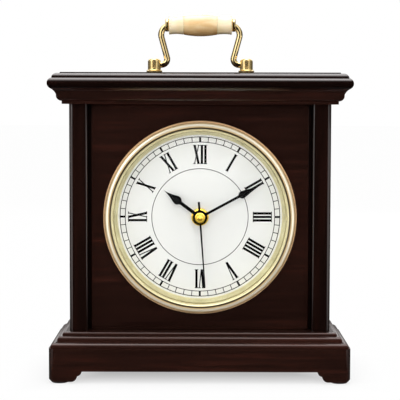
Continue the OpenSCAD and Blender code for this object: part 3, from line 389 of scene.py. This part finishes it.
def brass_look(name, bright, shaded, rough, metal, turned=None):
    """Polished, lacquered brass, dull in its hollows.

    Turned is a list of (radius in millimetres, colour) round the arbor: painted bands of highlight
    and shade.
    """
    look = Look(name)
    cloud = look.noise(look.place, scale=55, detail=4, rough=0.6, warp=0.3)
    fine = look.noise(look.place, scale=900, detail=3, rough=0.7)
    slanted = look.moved((1, 1, 0.06), turn=(0.4, 0.2, 0.7))
    scratch = look.noise(slanted, scale=2200, detail=2, rough=0.6)
    tint = look.ramp(look.total((cloud, 0.7), (fine, 0.3)), (0.3, shaded), (0.62, bright))
    # Painted highlight and shade in bands round the arbor
    if turned:
        inner, outer = turned[0][0], turned[-1][0]
        across = look.span(look.arbor_distance(), (inner * MM, outer * MM))
        stops = [((radius - inner) / (outer - inner), colour) for radius, colour in turned]
        tint = look.mix(PAINTED_BANDS_SHARE, tint, look.ramp(across, *stops))
    look.set(base_color=tint)
    hollow = look.crevice(reach=2.5 * MM, alone=True)
    polish = look.span(cloud, (0.3, 0.72), (rough, rough + CLOUD_ROUGH))
    dull = look.times(hollow, HOLLOW_DULL * metal)
    look.set(metallic=look.math("SUBTRACT", metal, dull))
    look.set(roughness=look.math("ADD", polish, look.times(hollow, HOLLOW_ROUGH)))
    relief = look.total((scratch, 0.5), (fine, 1.0))
    look.set(normal=look.bump(relief, depth=0.004 * MM, strength=0.5))
    look.set(coat_weight=0.12, coat_roughness=0.03)
    return look.material


def steel_look(name):
    """Bright steel with fine lines left by its working."""
    look = Look(name)
    cloud = look.noise(look.place, scale=120, detail=4, rough=0.6)
    slanted = look.moved((1, 1, 0.05), turn=(0.3, 0.9, 0.2))
    line = look.noise(slanted, scale=3000, detail=2, rough=0.6)
    look.set(base_color=look.clouds(cloud, scaled(STEEL, 0.72), STEEL), metallic=1.0)
    look.set(roughness=look.span(line, NOISE, (0.20, 0.38)))
    look.set(normal=look.bump(line, depth=0.006 * MM, strength=0.5))
    return look.material


def coil_look(name):
    """Enamelled copper wire in close turns round the coil's axis."""
    look = Look(name)
    wave = look.node("ShaderNodeTexWave", bands_direction="X")
    look.fill(wave, vector=look.place, scale=900, distortion=0.15, detail=1)
    turns = wave.outputs["Fac"]
    cloud = look.noise(look.place, scale=200, detail=3, rough=0.6)
    look.set(base_color=look.ramp(turns, (0.0, (0.10, 0.025, 0.01)), (0.6, (0.62, 0.22, 0.08))))
    look.set(metallic=0.85, roughness=look.span(cloud, NOISE, (0.25, 0.4)))
    look.set(normal=look.bump(turns, depth=0.05 * MM, strength=0.9))
    return look.material


# Plastics, rubber, felt and resin


def plastic_look(name, colour, rough, grain=0.5):
    """Moulded plastic with a fine spark-eroded grain and slightly cloudy colour."""
    look = Look(name)
    cloud = look.noise(look.place, scale=70, detail=3, rough=0.5)
    skin = look.noise(look.place, scale=900, detail=3, rough=0.6)
    light = tuple(min(1.0, part * 1.12 + 0.003) for part in colour)
    look.set(base_color=look.clouds(cloud, scaled(colour, 0.86), light))
    look.set(roughness=look.span(skin, NOISE, (rough - 0.06, rough + 0.08)))
    look.set(normal=look.bump(skin, depth=0.02 * MM, strength=grain))
    return look.material


def felt_look(name, colour):
    """Short wool felt with a soft nap."""
    look = Look(name)
    nap = look.noise(look.place, scale=1500, detail=4, rough=0.8)
    wool = look.noise(look.place, scale=300, detail=3, rough=0.6)
    look.set(base_color=look.clouds(wool, scaled(colour, 0.5), scaled(colour, 1.6)))
    look.set(roughness=look.span(nap, (0.2, 0.8), (0.85, 1.0)))
    look.set(normal=look.bump(nap, depth=0.15 * MM, strength=0.8))
    look.set(sheen_weight=0.4, sheen_roughness=0.5)
    return look.material


# The grip's cast resin: the blend where two of its pieces meet, and the cream of painted light on
# its top side
GRIP_BLEND = (0.76, 0.62, 0.38)
GRIP_PAINTED_TOP_LIGHT = (0.82, 0.74, 0.56)
# How far from a joint the blend reaches, and how much its line wanders
JOINT_REACH = 5 * MM
JOINT_WANDER = 3 * MM
# How far over and under the grip's axis its painted light, a cream top, and its painted shade, a
# brown bottom, start and are complete
TURN_START = 1 * MM
TURN_END = 7 * MM


def marble_look(name, pale, tan, deep, veins, painted_shade_below, seam):
    """Swirled, polished cast resin that looks like onyx.

    Veins, painted_shade_below and seam are the strengths of its dark veins, of a brown painted
    shade along its lower edge and of the blend into the next piece at the barrel's ends.
    """
    look = Look(name)
    place = look.moved((0.4, 1, 1), (0.013, 0.02, 0.03))
    swirl = look.noise(place, scale=95, detail=3, rough=0.5, warp=0.7)
    cloud = look.noise(look.moved((0.6, 1, 1)), scale=45, detail=2, rough=0.5, warp=0.8)
    fine = look.noise(place, scale=420, detail=3, rough=0.6, warp=0.6)
    tone = look.total((swirl, 0.5), (cloud, 0.4), (fine, 0.1))
    colour = look.ramp(tone, (0.36, pale), (0.47, tan), (0.56, pale), (0.72, deep))
    off_vein = look.math("ABSOLUTE", look.math("SUBTRACT", swirl, 0.5))
    vein = look.span(off_vein, (0.0, 0.02), (1.0, 0.0))
    colour = look.mix(look.times(vein, veins), colour, deep)
    uneven = look.span(cloud, NOISE, (-JOINT_WANDER, JOINT_WANDER))
    height = look.math("ADD", look.height(), uneven)
    across = look.math("ADD", look.off_middle(), uneven)
    off_joint = look.math("ABSOLUTE", look.math("SUBTRACT", across, GRIP_HALF))
    joint = look.span(off_joint, (0, JOINT_REACH), (1.0, 0.0))
    colour = look.mix(look.times(joint, seam), colour, GRIP_BLEND)
    # Painted shade, a brown along the lower edge and more of it near the joints, and painted light,
    # cream on the top side
    low = look.span(height, (GRIP_Z - TURN_END, GRIP_Z - TURN_START), (1.0, 0.0))
    brown = look.times(low, look.math("ADD", painted_shade_below, look.times(joint, 0.5 * painted_shade_below)))
    colour = look.mix(brown, colour, scaled(deep, 0.9))
    high = look.span(height, (GRIP_Z + TURN_START, GRIP_Z + TURN_END))
    colour = look.mix(look.times(high, 0.7), colour, GRIP_PAINTED_TOP_LIGHT)
    look.set(base_color=colour, roughness=look.span(fine, NOISE, (0.16, 0.26)))
    look.set(subsurface_weight=0.12, subsurface_scale=0.002, subsurface_radius=(1.0, 0.6, 0.3))
    look.set(coat_weight=0.4, coat_roughness=0.06)
    look.set(coat_normal=look.bump(cloud, depth=0.02 * MM, strength=0.3))
    return look.material


# Glass, dial and ink

INK = (0.0015, 0.0015, 0.0018)


def glass_look(name):
    """Clear crystal that lets the lamps through to the dial."""
    look = Look(name)
    smear = look.noise(look.place, scale=30, detail=4, rough=0.6, warp=0.5)
    look.set(base_color=(0.985, 0.995, 0.985), transmission_weight=1.0)
    look.set(ior=1.1, specular_ior_level=0.15)
    look.set(roughness=look.span(smear, (0.45, 0.8), (0.0, 0.03)))
    clear = look.fill(look.node("ShaderNodeBsdfTransparent"), color=(0.985, 0.99, 0.985))
    rays = look.node("ShaderNodeLightPath").outputs
    through = look.math("MAXIMUM", rays["Is Shadow Ray"], rays["Is Diffuse Ray"])
    look.join(look.blend(through, look.shader.outputs[0], clear.outputs[0]), look.surface)
    return look.material


def dial_look(name):
    """Printed satin white metal: a very faint grain and slightly warmer clouds."""
    look = Look(name)
    cloud = look.noise(look.place, scale=35, detail=3, rough=0.5)
    fine = look.noise(look.place, scale=1500, detail=2, rough=0.6)
    look.set(base_color=look.clouds(cloud, (0.68, 0.675, 0.67), (0.71, 0.70, 0.69)))
    look.set(roughness=look.span(fine, NOISE, (0.42, 0.5)), specular_ior_level=0.35)
    look.set(normal=look.bump(fine, depth=0.006 * MM, strength=0.4))
    return look.material


def ink_look(name, rough):
    """Matt black ink or paint."""
    look = Look(name)
    fine = look.noise(look.place, scale=1200, detail=3, rough=0.6)
    look.set(base_color=look.clouds(fine, scaled(INK, 0.7), scaled(INK, 1.6)))
    look.set(roughness=look.span(fine, NOISE, (rough, rough + 0.12)), specular_ior_level=0.03)
    look.set(normal=look.bump(fine, depth=0.004 * MM, strength=0.3))
    return look.material


# Giving the CAD nodes their looks

# Corners this near to each other are one corner that was split
SPLIT_CORNER = 0.002 * MM
# Edges bent more than this are eased, each in so many steps
EASED_FROM_DEG = 40
EASED_STEPS = 2
# Edges bent less than this are shaded smooth
SMOOTH_TO_DEG = 32


def smooth_group():
    """Geometry nodes that shade smooth all but the sharp edges."""
    group = bpy.data.node_groups.new("smooth_by_angle", "GeometryNodeTree")
    group.is_modifier = True
    for side in ("INPUT", "OUTPUT"):
        group.interface.new_socket("Geometry", in_out=side, socket_type="NodeSocketGeometry")
    nodes, links = group.nodes, group.links
    start = nodes.new("NodeGroupInput")
    end = nodes.new("NodeGroupOutput")
    faces = nodes.new("GeometryNodeSetShadeSmooth")
    faces.domain = "FACE"
    edges = nodes.new("GeometryNodeSetShadeSmooth")
    edges.domain = "EDGE"
    edges.inputs["Shade Smooth"].default_value = False
    bend = nodes.new("GeometryNodeInputMeshEdgeAngle")
    sharp = nodes.new("FunctionNodeCompare")
    sharp.data_type = "FLOAT"
    sharp.operation = "GREATER_THAN"
    sharp.inputs["B"].default_value = math.radians(SMOOTH_TO_DEG)
    links.new(start.outputs["Geometry"], faces.inputs["Geometry"])
    links.new(faces.outputs["Geometry"], edges.inputs["Geometry"])
    links.new(bend.outputs["Unsigned Angle"], sharp.inputs["A"])
    links.new(sharp.outputs["Result"], edges.inputs["Selection"])
    links.new(edges.outputs["Geometry"], end.inputs["Geometry"])
    return group


SMOOTH = smooth_group()


def soften(obj, bevel):
    """Eases an object's sharp edges, by the width bevel or not at all, and shades it smooth."""
    weld = obj.modifiers.new("weld", "WELD")
    weld.merge_threshold = SPLIT_CORNER
    if bevel:
        rounding = obj.modifiers.new("edges", "BEVEL")
        rounding.width = bevel
        rounding.segments = EASED_STEPS
        rounding.limit_method = "ANGLE"
        rounding.angle_limit = math.radians(EASED_FROM_DEG)
    smooth = obj.modifiers.new("smooth", "NODES")
    smooth.node_group = SMOOTH
    level = obj.modifiers.new("level", "WEIGHTED_NORMAL")
    level.keep_sharp = True


def dress(names, material, bevel=None):
    """Gives nodes a material and their eased edges. Their own meshes stay as they are."""
    for name in names:
        for slot in NODES[name].material_slots:
            slot.link = "OBJECT"
            slot.material = material
        soften(NODES[name], bevel)


# Stain colours, and the bare wood inside the case
MAHOGANY = (0.0135, 0.0048, 0.0032)
MAHOGANY_RED = (0.031, 0.0080, 0.0048)
BARE = (0.36, 0.20, 0.10)
BARE_WARM = (0.50, 0.30, 0.16)
# How far down from its top the crown board's edge is painted dark and dull, as a line of shade
CROWN_RIM = 1.0 * MM
# Each board's grain, how dark it is beside the panel, its gloss and how far its edges are
# eased in millimetres. That darkness is painted shade on one mahogany: the crown board
# darkest, and the right side darker than the left
BOARDS = {
    "crown_board": ("x", 0.3, 1.0, 0.12),
    "ogee_board": ("x", 0.95, 1.0, 0.4),
    "left_side": ("z", 0.42, 1.0, 0.12),
    "right_side": ("z", 0.34, 1.0, 0.12),
    "front_panel": ("x", 1.0, 1.0, 0.4),
    "step_board": ("x", 0.8, 0.45, 0.4),
    "plinth_front": ("x", 1.0, 1.0, 0.4),
    "plinth_left": ("y", 1.0, 1.0, 0.4),
    "plinth_right": ("y", 1.0, 1.0, 0.4),
    "plinth_back": ("x", 1.0, 1.0, 0.4),
}
# The wood seeds: the first board's, then one more for each, and those of the door and bare wood
BOARD_SEED = 3
DOOR_SEED = 23
BARE_SEED = 31


def dress_case():
    for seed, (name, (along, painted_darkness, gloss, eased)) in enumerate(BOARDS.items(), BOARD_SEED):
        # Painted shade: a darker copy of the mahogany on boards that lay in shade
        dark, red = scaled(MAHOGANY, painted_darkness), scaled(MAHOGANY_RED, painted_darkness)
        rim = CROWN_TOP - CROWN_RIM if name == "crown_board" else None
        wood = wood_look("wood_" + name, along, seed, dark, red, gloss, rim=rim)
        dress([name], wood, bevel=eased * MM)
    door = wood_look("wood_back_door", "z", DOOR_SEED, MAHOGANY, MAHOGANY_RED, gloss=0.35)
    dress(["back_door"], door, bevel=0.5 * MM)
    bare = wood_look("wood_bare", "z", BARE_SEED, BARE, BARE_WARM, gloss=0, pores=0.5)
    dress(["glue_blocks", "plinth_blocks", "door_stop"], bare, bevel=0.3 * MM)
    dress(["foot_pads"], felt_look("felt_black", (0.012, 0.012, 0.013)))


# The bezel's turned bands, radius in millimetres and colour, painted with light and shade: a
# painted highlight on the bead's crest, a peach painted reflection on the flange, painted shade
# towards its outer edge, and a painted dark line of shade inside the bead and one at its outer edge
GOLD = (0.88, 0.61, 0.29)
PAINTED_HIGHLIGHT = (1.0, 0.93, 0.74)
OLIVE = (0.86, 0.78, 0.46)
PAINTED_LIT_PEACH = (0.86, 0.56, 0.30)
SHADOW_GOLD = (0.40, 0.22, 0.09)
PAINTED_DARK_LINE = (0.012, 0.006, 0.003)
BEZEL_PAINTED_BANDS = [
    (56.0, OLIVE),
    (58.5, OLIVE),
    (58.8, PAINTED_DARK_LINE),
    (59.6, PAINTED_DARK_LINE),
    (60.0, GOLD),
    (61.0, PAINTED_HIGHLIGHT),
    (61.7, PAINTED_HIGHLIGHT),
    (62.4, GOLD),
    (63.0, PAINTED_LIT_PEACH),
    (64.0, PAINTED_LIT_PEACH),
    (64.3, SHADOW_GOLD),
    (64.5, PAINTED_DARK_LINE),
]
# Each brass: its bright and shaded colour, its roughness and how metallic it is, and for the bezel
# its painted bands of highlight and shade
BRASS = {
    "handle": ((0.98, 0.76, 0.38), (0.84, 0.60, 0.24), 0.03, 1.0),
    "post": ((0.95, 0.72, 0.33), (0.80, 0.56, 0.20), 0.12, 0.85),
    "bezel": ((0.96, 0.74, 0.42), (0.88, 0.64, 0.32), 0.15, 0.5, BEZEL_PAINTED_BANDS),
    "ring": ((0.97, 0.90, 0.57), (0.72, 0.63, 0.30), 0.3, 0.75),
    "centre": ((0.96, 0.66, 0.10), (0.86, 0.53, 0.05), 0.2, 0.75),
    "hinge": ((0.78, 0.50, 0.19), (0.56, 0.34, 0.11), 0.24, 0.85),
}


def dress_metal():
    brass = {name: brass_look("brass_" + name, *recipe) for name, recipe in BRASS.items()}
    dress(["left_arm", "right_arm"], brass["handle"], bevel=0.2 * MM)
    dress(["left_post", "right_post"], brass["post"], bevel=0.2 * MM)
    dress(["bezel"], brass["bezel"])
    dress(["inner_ring"], brass["ring"])
    dress(["centre_nut", "hand_cap"], brass["centre"])
    dress(["case_hinge_leaves", "door_hinge_leaves"], brass["hinge"])
    dress(["case_hinge_screws", "door_hinge_screws"], brass["hinge"], bevel=0.1 * MM)
    steel = steel_look("steel")
    solid = ["post_washers", "post_nuts", "hinge_pins", "catch_magnet", "catch_plate", "grip_stud"]
    dress(solid, steel, bevel=0.1 * MM)
    dress(["cell_contacts", "quartz_crystal", "second_arbor", "stator", "rotor_magnet"], steel)


# The grip's resins: pale, tan and deep colour, then the strengths of veins, painted shade below and
# seam
GRIP_TAN = ((0.78, 0.61, 0.36), (0.70, 0.47, 0.22), (0.46, 0.26, 0.09), 0.12, 0.85, 0.5)
GRIP_PALE = ((0.84, 0.715, 0.50), (0.80, 0.655, 0.41), (0.68, 0.49, 0.24), 0.1, 0.45, 0.6)


def dress_grip():
    dress(["grip_barrel"], marble_look("grip_tan", *GRIP_TAN), bevel=0.4 * MM)
    dress(["grip_ends"], marble_look("grip_cream", *GRIP_PALE), bevel=0.4 * MM)


def dress_dial():
    dress(["dial"], dial_look("dial_white"))
    dress(["glass"], glass_look("clear_glass"))
    hand = ink_look("hand_black", rough=0.4)
    dress(["hour_hand", "minute_hand", "second_hand"], hand, bevel=0.08 * MM)
    rubber = plastic_look("gasket_rubber", (0.012, 0.012, 0.012), rough=0.7)
    dress(["bezel_gasket", "dial_retainer"], rubber)


# The wheels that carry the motor's turns to the minute hand, and those on to the hour hand
TRAIN = ["rotor_pinion", "fifth_wheel", "second_wheel", "third_wheel", "centre_wheel"]
MOTION_WORK = ["intermediate_wheel", "hour_wheel"]


def dress_movement():
    black = plastic_look("movement_black", (0.014, 0.014, 0.016), rough=0.38)
    dress(["movement_front", "movement_cover", "setting_knob"], black, bevel=0.15 * MM)
    wheel = plastic_look("wheel_plastic", (0.72, 0.69, 0.58), rough=0.35, grain=0.2)
    dress(TRAIN + MOTION_WORK, wheel)
    cell = plastic_look("cell_case", (0.26, 0.27, 0.30), rough=0.25, grain=0.1)
    dress(["cell"], cell)
    board = plastic_look("board_green", (0.02, 0.12, 0.04), rough=0.3, grain=0.3)
    dress(["circuit_board"], board)
    dress(["coil"], coil_look("coil_copper"))


# The dial's print


class Print:
    """Flat shapes printed on the dial, each a thin plate of ink.

    They are drawn in millimetres, x to the right and z up from the dial's centre.
    """

    # The ink lies on the dial with a hair of air under it, so that the two faces don't fight
    LIFT = 0.01 * MM
    THICK = 0.03 * MM
    RING_STEPS = 180

    def __init__(self):
        self.verts, self.faces = [], []

    def point(self, x, z, depth):
        self.verts.append(ARBOR + Vector((x * MM, -depth, z * MM)))

    def plate(self, outline):
        """A plate whose outline is a list of points (x, z) in order."""
        start, count = len(self.verts), len(outline)
        for depth in (self.LIFT, self.LIFT + self.THICK):
            for x, z in outline:
                self.point(x, z, depth)
        back = [start + i for i in range(count)]
        face = [start + count + i for i in range(count)]
        self.faces.append(back[::-1])
        self.faces.append(face)
        for i in range(count):
            j = (i + 1) % count
            self.faces.append([back[i], back[j], face[j], face[i]])

    def ring(self, radius, width):
        start = len(self.verts)
        inner, outer = radius - width / 2, radius + width / 2
        back, front = self.LIFT, self.LIFT + self.THICK
        section = [(inner, front), (outer, front), (outer, back), (inner, back)]
        for i in range(self.RING_STEPS):
            turn = 2 * math.pi * i / self.RING_STEPS
            for reach, depth in section:
                self.point(reach * math.sin(turn), reach * math.cos(turn), depth)
        for i in range(self.RING_STEPS):
            here, there = (start + len(section) * (k % self.RING_STEPS) for k in (i, i + 1))
            for a in range(len(section)):
                b = (a + 1) % len(section)
                self.faces.append([here + a, here + b, there + b, there + a])

    def turned(self, outline, angle_deg):
        """A plate drawn at twelve and turned clockwise."""
        cos, sin = math.cos(math.radians(angle_deg)), math.sin(math.radians(angle_deg))
        self.plate([(x * cos + z * sin, z * cos - x * sin) for x, z in outline])

    def block(self, left, right, low, high, angle_deg):
        """A rectangle drawn at twelve and turned clockwise."""
        outline = [(left, low), (right, low), (right, high), (left, high)]
        self.turned(outline, angle_deg)

    def build(self, name, material):
        mesh = bpy.data.meshes.new(name)
        mesh.from_pydata([tuple(v) for v in self.verts], [], self.faces)
        mesh.materials.append(material)
        tool = bmesh.new()
        tool.from_mesh(mesh)
        bmesh.ops.recalc_face_normals(tool, faces=tool.faces)
        tool.to_mesh(mesh)
        tool.free()
        obj = bpy.data.objects.new(name, mesh)
        scene.collection.objects.link(obj)
        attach(obj, "case")


# Circles of the print, as (radius, line width), the widths of the lines at the minutes and at each
# fifth one, and how far a minute and an hour are apart
TRACK_INNER = (49.8, 0.48)
TRACK_OUTER = (53.2, 0.52)
INNER_CIRCLE = (32.1, 0.44)
MINUTE_LINE = 0.5
FIVE_MINUTE_LINE = 1.35
MINUTE_DEG = 6
HOUR_DEG = 30
# The numerals' distance from the centre, and their strokes
NUMERAL_FOOT = 35.2
NUMERAL_HEAD = 47.9
THICK_STROKE = 1.6
THIN_STROKE = 0.66
LETTER_WIDTH = {"I": 2.35, "V": 4.5, "X": 4.7}
# Air beside the slanting strokes of a letter
LETTER_AIR = 0.15
# How far left and right of its middle a V's thick and thin stroke have their feet, and how much
# further out than the thick one's head the thin one's is
V_THICK_FOOT = 0.1
V_THIN_FOOT = 0.25
V_THIN_HEAD = 0.2
# A serif's height, and how far it reaches from a stroke's middle, or past the width of an I
SERIF = 0.5
SERIF_THICK = 1.1
SERIF_THIN_IN = 0.8
SERIF_THIN_OUT = 0.9
SERIF_PAST_I = 0.02
NUMERALS = ["XII", "I", "II", "III", "IIII", "V", "VI", "VII", "VIII", "IX", "X", "XI"]


def bar(foot_x, head_x, width):
    """A stroke of a numeral. Its ends are level, and its width is measured along them."""
    half = width / 2
    return [
        (foot_x - half, NUMERAL_FOOT),
        (foot_x + half, NUMERAL_FOOT),
        (head_x + half, NUMERAL_HEAD),
        (head_x - half, NUMERAL_HEAD),
    ]


def lean(width):
    """How far from a letter's middle its slanting strokes start and end."""
    return width / 2 - THICK_STROKE / 2 - LETTER_AIR


def letter_strokes(letter, middle_x, width):
    """The outlines of a letter's strokes."""
    if letter == "I":
        return [bar(middle_x, middle_x, THICK_STROKE)]
    left, right = middle_x - lean(width), middle_x + lean(width)
    if letter == "V":
        thick = bar(middle_x - V_THICK_FOOT, left, THICK_STROKE)
        return [thick, bar(middle_x + V_THIN_FOOT, right + V_THIN_HEAD, THIN_STROKE)]
    return [bar(right, left, THICK_STROKE), bar(left, right, THIN_STROKE)]


def letter_serifs(letter, middle_x, width):
    """A letter's serifs, as (left, right, foot)."""
    foot, head = NUMERAL_FOOT, NUMERAL_HEAD - SERIF
    if letter == "I":
        reach = width / 2 + SERIF_PAST_I
        return [(middle_x - reach, middle_x + reach, z) for z in (foot, head)]
    left, right = middle_x - lean(width), middle_x + lean(width)
    top = [
        (left - SERIF_THICK, left + SERIF_THICK, head),
        (right - SERIF_THIN_IN, right + SERIF_THIN_OUT, head),
    ]
    if letter == "V":
        return top
    return top + [
        (left - SERIF_THIN_OUT, left + SERIF_THIN_IN, foot),
        (right - SERIF_THICK, right + SERIF_THICK, foot),
    ]


def add_dial_print():
    ink = ink_look("dial_ink", rough=0.45)
    numerals = Print()
    for hour, text in enumerate(NUMERALS):
        left = -sum(LETTER_WIDTH[letter] for letter in text) / 2
        for letter in text:
            width = LETTER_WIDTH[letter]
            for stroke in letter_strokes(letter, left + width / 2, width):
                numerals.turned(stroke, HOUR_DEG * hour)
            for x0, x1, foot in letter_serifs(letter, left + width / 2, width):
                numerals.block(x0, x1, foot, foot + SERIF, HOUR_DEG * hour)
            left += width
    numerals.build("dial_numerals", ink)
    track = Print()
    track.ring(*TRACK_INNER)
    track.ring(*TRACK_OUTER)
    for minute in range(60):
        half = (MINUTE_LINE if minute % 5 else FIVE_MINUTE_LINE) / 2
        track.block(-half, half, TRACK_INNER[0], TRACK_OUTER[0], MINUTE_DEG * minute)
    track.build("dial_minute_track", ink)
    circle = Print()
    circle.ring(*INNER_CIRCLE)
    circle.build("dial_inner_circle", ink)


# Floor

# Half the floor's side
FLOOR_HALF = 12
# The floor lies this far under the feet, so that the two faces don't fight
FLOOR_DROP = 0.05 * MM
# The clock's footprint on the floor: half its width, half its depth and the middle of its depth
FOOT_HALF_X = 0.099
FOOT_HALF_Y = 0.0415
FOOT_MIDDLE_Y = -0.0015
# The shadow under the clock, by distance from the edge of the footprint, where a painted white
# glow over the real shadow sets its depth: where it is deepest and where the floor is as white as
# the backdrop, and the share of white at both places
SHADOW_ENDS = (-0.035, 0.025)
SHADOW_WHITE = (0.46, 0.98)
# The dark room in front of the clock, as the floor shows it to polished surfaces: the depths where
# it is complete and where it starts, half its width level with the clock's middle, how much more
# that is for each metre nearer to the viewer, and how soft its sides are
DARK_ENDS = (-0.052, -0.044)
DARK_HALF = 0.11
DARK_SPREAD = 0.36
DARK_BLUR = 0.05
# How much of the floor's white polished surfaces miss beside and behind the clock, and where along
# the depth that starts and is complete
DIM_MOST = 0.93
DIM_ENDS = (-0.30, -0.05)


def white_share(look, across, along):
    """How white the floor is: away from the clock like the world, so no horizon shows."""
    out_x = look.math("SUBTRACT", across, FOOT_HALF_X)
    off_y = look.math("ABSOLUTE", look.math("SUBTRACT", along, FOOT_MIDDLE_Y))
    out_y = look.math("SUBTRACT", off_y, FOOT_HALF_Y)
    return look.span(look.math("MAXIMUM", out_x, out_y), SHADOW_ENDS, SHADOW_WHITE)


def dark_share(look, across, along):
    """How much polished surfaces miss of the floor, so that its white doesn't veil the wood."""
    width = look.math("SUBTRACT", DARK_HALF, look.times(along, DARK_SPREAD))
    beside = look.span(look.math("SUBTRACT", across, width), (0, DARK_BLUR), (1.0, 0.0))
    front = look.times(look.span(along, DARK_ENDS, (1.0, 0.0)), beside)
    return look.math("MAXIMUM", front, look.span(along, DIM_ENDS, (0.0, DIM_MOST)))


def add_floor():
    look = Look("floor_white")
    cloud = look.noise(look.place, scale=6, detail=2, rough=0.5)
    look.set(base_color=look.clouds(cloud, (0.78, 0.78, 0.78), (0.80, 0.80, 0.80)))
    look.set(roughness=0.7, specular_ior_level=0.1)
    x, y, _ = look.split(look.node("ShaderNodeNewGeometry").outputs["Position"])
    across = look.math("ABSOLUTE", x)
    rays = look.node("ShaderNodeLightPath").outputs
    shown = look.math("MAXIMUM", rays["Is Camera Ray"], rays["Is Glossy Ray"])
    shown = look.math("MAXIMUM", shown, rays["Is Transmission Ray"])
    white = look.node("ShaderNodeEmission").outputs[0]
    share = look.times(white_share(look, across, y), shown)
    lit = look.blend(share, look.shader.outputs[0], white)
    dark = look.fill(look.node("ShaderNodeEmission"), strength=ROOM_DARK).outputs[0]
    share = look.times(dark_share(look, across, y), rays["Is Glossy Ray"])
    look.join(look.blend(share, lit, dark), look.surface)
    mesh = bpy.data.meshes.new("floor")
    corners = [(-1, -1), (1, -1), (1, 1), (-1, 1)]
    mesh.from_pydata([(a * FLOOR_HALF, b * FLOOR_HALF, 0) for a, b in corners], [], [(0, 1, 2, 3)])
    mesh.materials.append(look.material)
    floor = bpy.data.objects.new("floor", mesh)
    scene.collection.objects.link(floor)
    floor.location.z = -FLOOR_DROP


# World

# How bright polished surfaces see the room. Each table runs over one part of the direction, from
# -1 to 1, as (place, brightness): across it from left to right, and upwards from the floor
ROOM_ACROSS = (
    (-1, 0.1),
    (-0.9, 0.4),
    (-0.75, 1.7),
    (-0.52, 2.0),
    (-0.42, 1.3),
    (-0.32, 0.0),
    (0.32, 0.0),
    (0.42, 0.8),
    (0.52, 1.0),
    (0.7, 0.85),
    (0.9, 0.2),
    (1, 0.06),
)
ROOM_UP = ((0.6, 0.0), (0.72, 0.25), (0.84, 0.9), (0.92, 2.4), (0.96, 4.0), (1, 5.5))
# The brightest place of both tables, and the least that polished surfaces see of the room
ROOM_LIMIT = 5.5
ROOM_DARK = 0.006
# The sides get darker towards the back, from the first to the second of these
SIDE_ENDS = (0.0, 0.45)
# The backdrop behind the clock: where it starts and is complete, along the depth and upwards, and
# its brightness low and high
BACK_Y = (0.55, 0.85)
BACK_Z = (0.15, 0.5)
BACK_LIGHT = (0.08, 2.6)
# Light that the room gives to matt surfaces
FILL = 0.35


class World(Nodes):
    """The world's shader."""

    def __init__(self):
        scene.world = bpy.data.worlds.new("studio")
        scene.world.use_nodes = True
        super().__init__(scene.world.node_tree)
        self.tree.nodes.clear()
        self.surface = self.node("ShaderNodeOutputWorld").inputs["Surface"]

    def table(self, value, stops):
        """Brightness along stops of (place, brightness), places from -1 to 1."""
        greys = [((at + 1) / 2, (bright / ROOM_LIMIT,) * 3) for at, bright in stops]
        return self.times(self.ramp(self.span(value, (-1, 1)), *greys), ROOM_LIMIT)

    def light(self, strength):
        made = self.node("ShaderNodeBackground")
        return self.fill(made, color=(1, 1, 1), strength=strength).outputs[0]


def add_world():
    world = World()
    x, y, z = world.split(world.node("ShaderNodeTexCoord").outputs["Generated"])
    behind = world.times(world.span(y, BACK_Y), world.span(z, BACK_Z, BACK_LIGHT))
    sides = world.times(world.table(x, ROOM_ACROSS), world.span(y, SIDE_ENDS, (1, 0)))
    room = world.math("MAXIMUM", world.math("MAXIMUM", sides, world.table(z, ROOM_UP)), behind)
    polished = world.light(world.math("ADD", room, ROOM_DARK))
    rays = world.node("ShaderNodeLightPath").outputs
    shine = world.blend(rays["Is Glossy Ray"], world.light(FILL), polished)
    straight = world.math("MAXIMUM", rays["Is Camera Ray"], rays["Is Transmission Ray"])
    world.join(world.blend(straight, shine, world.light(1.0)), world.surface)


# Everything together
scene.view_settings.view_transform = "Standard"
add_camera()
add_lamps()
add_floor()
add_world()
dress_case()
dress_metal()
dress_grip()
dress_dial()
dress_movement()
add_dial_print()
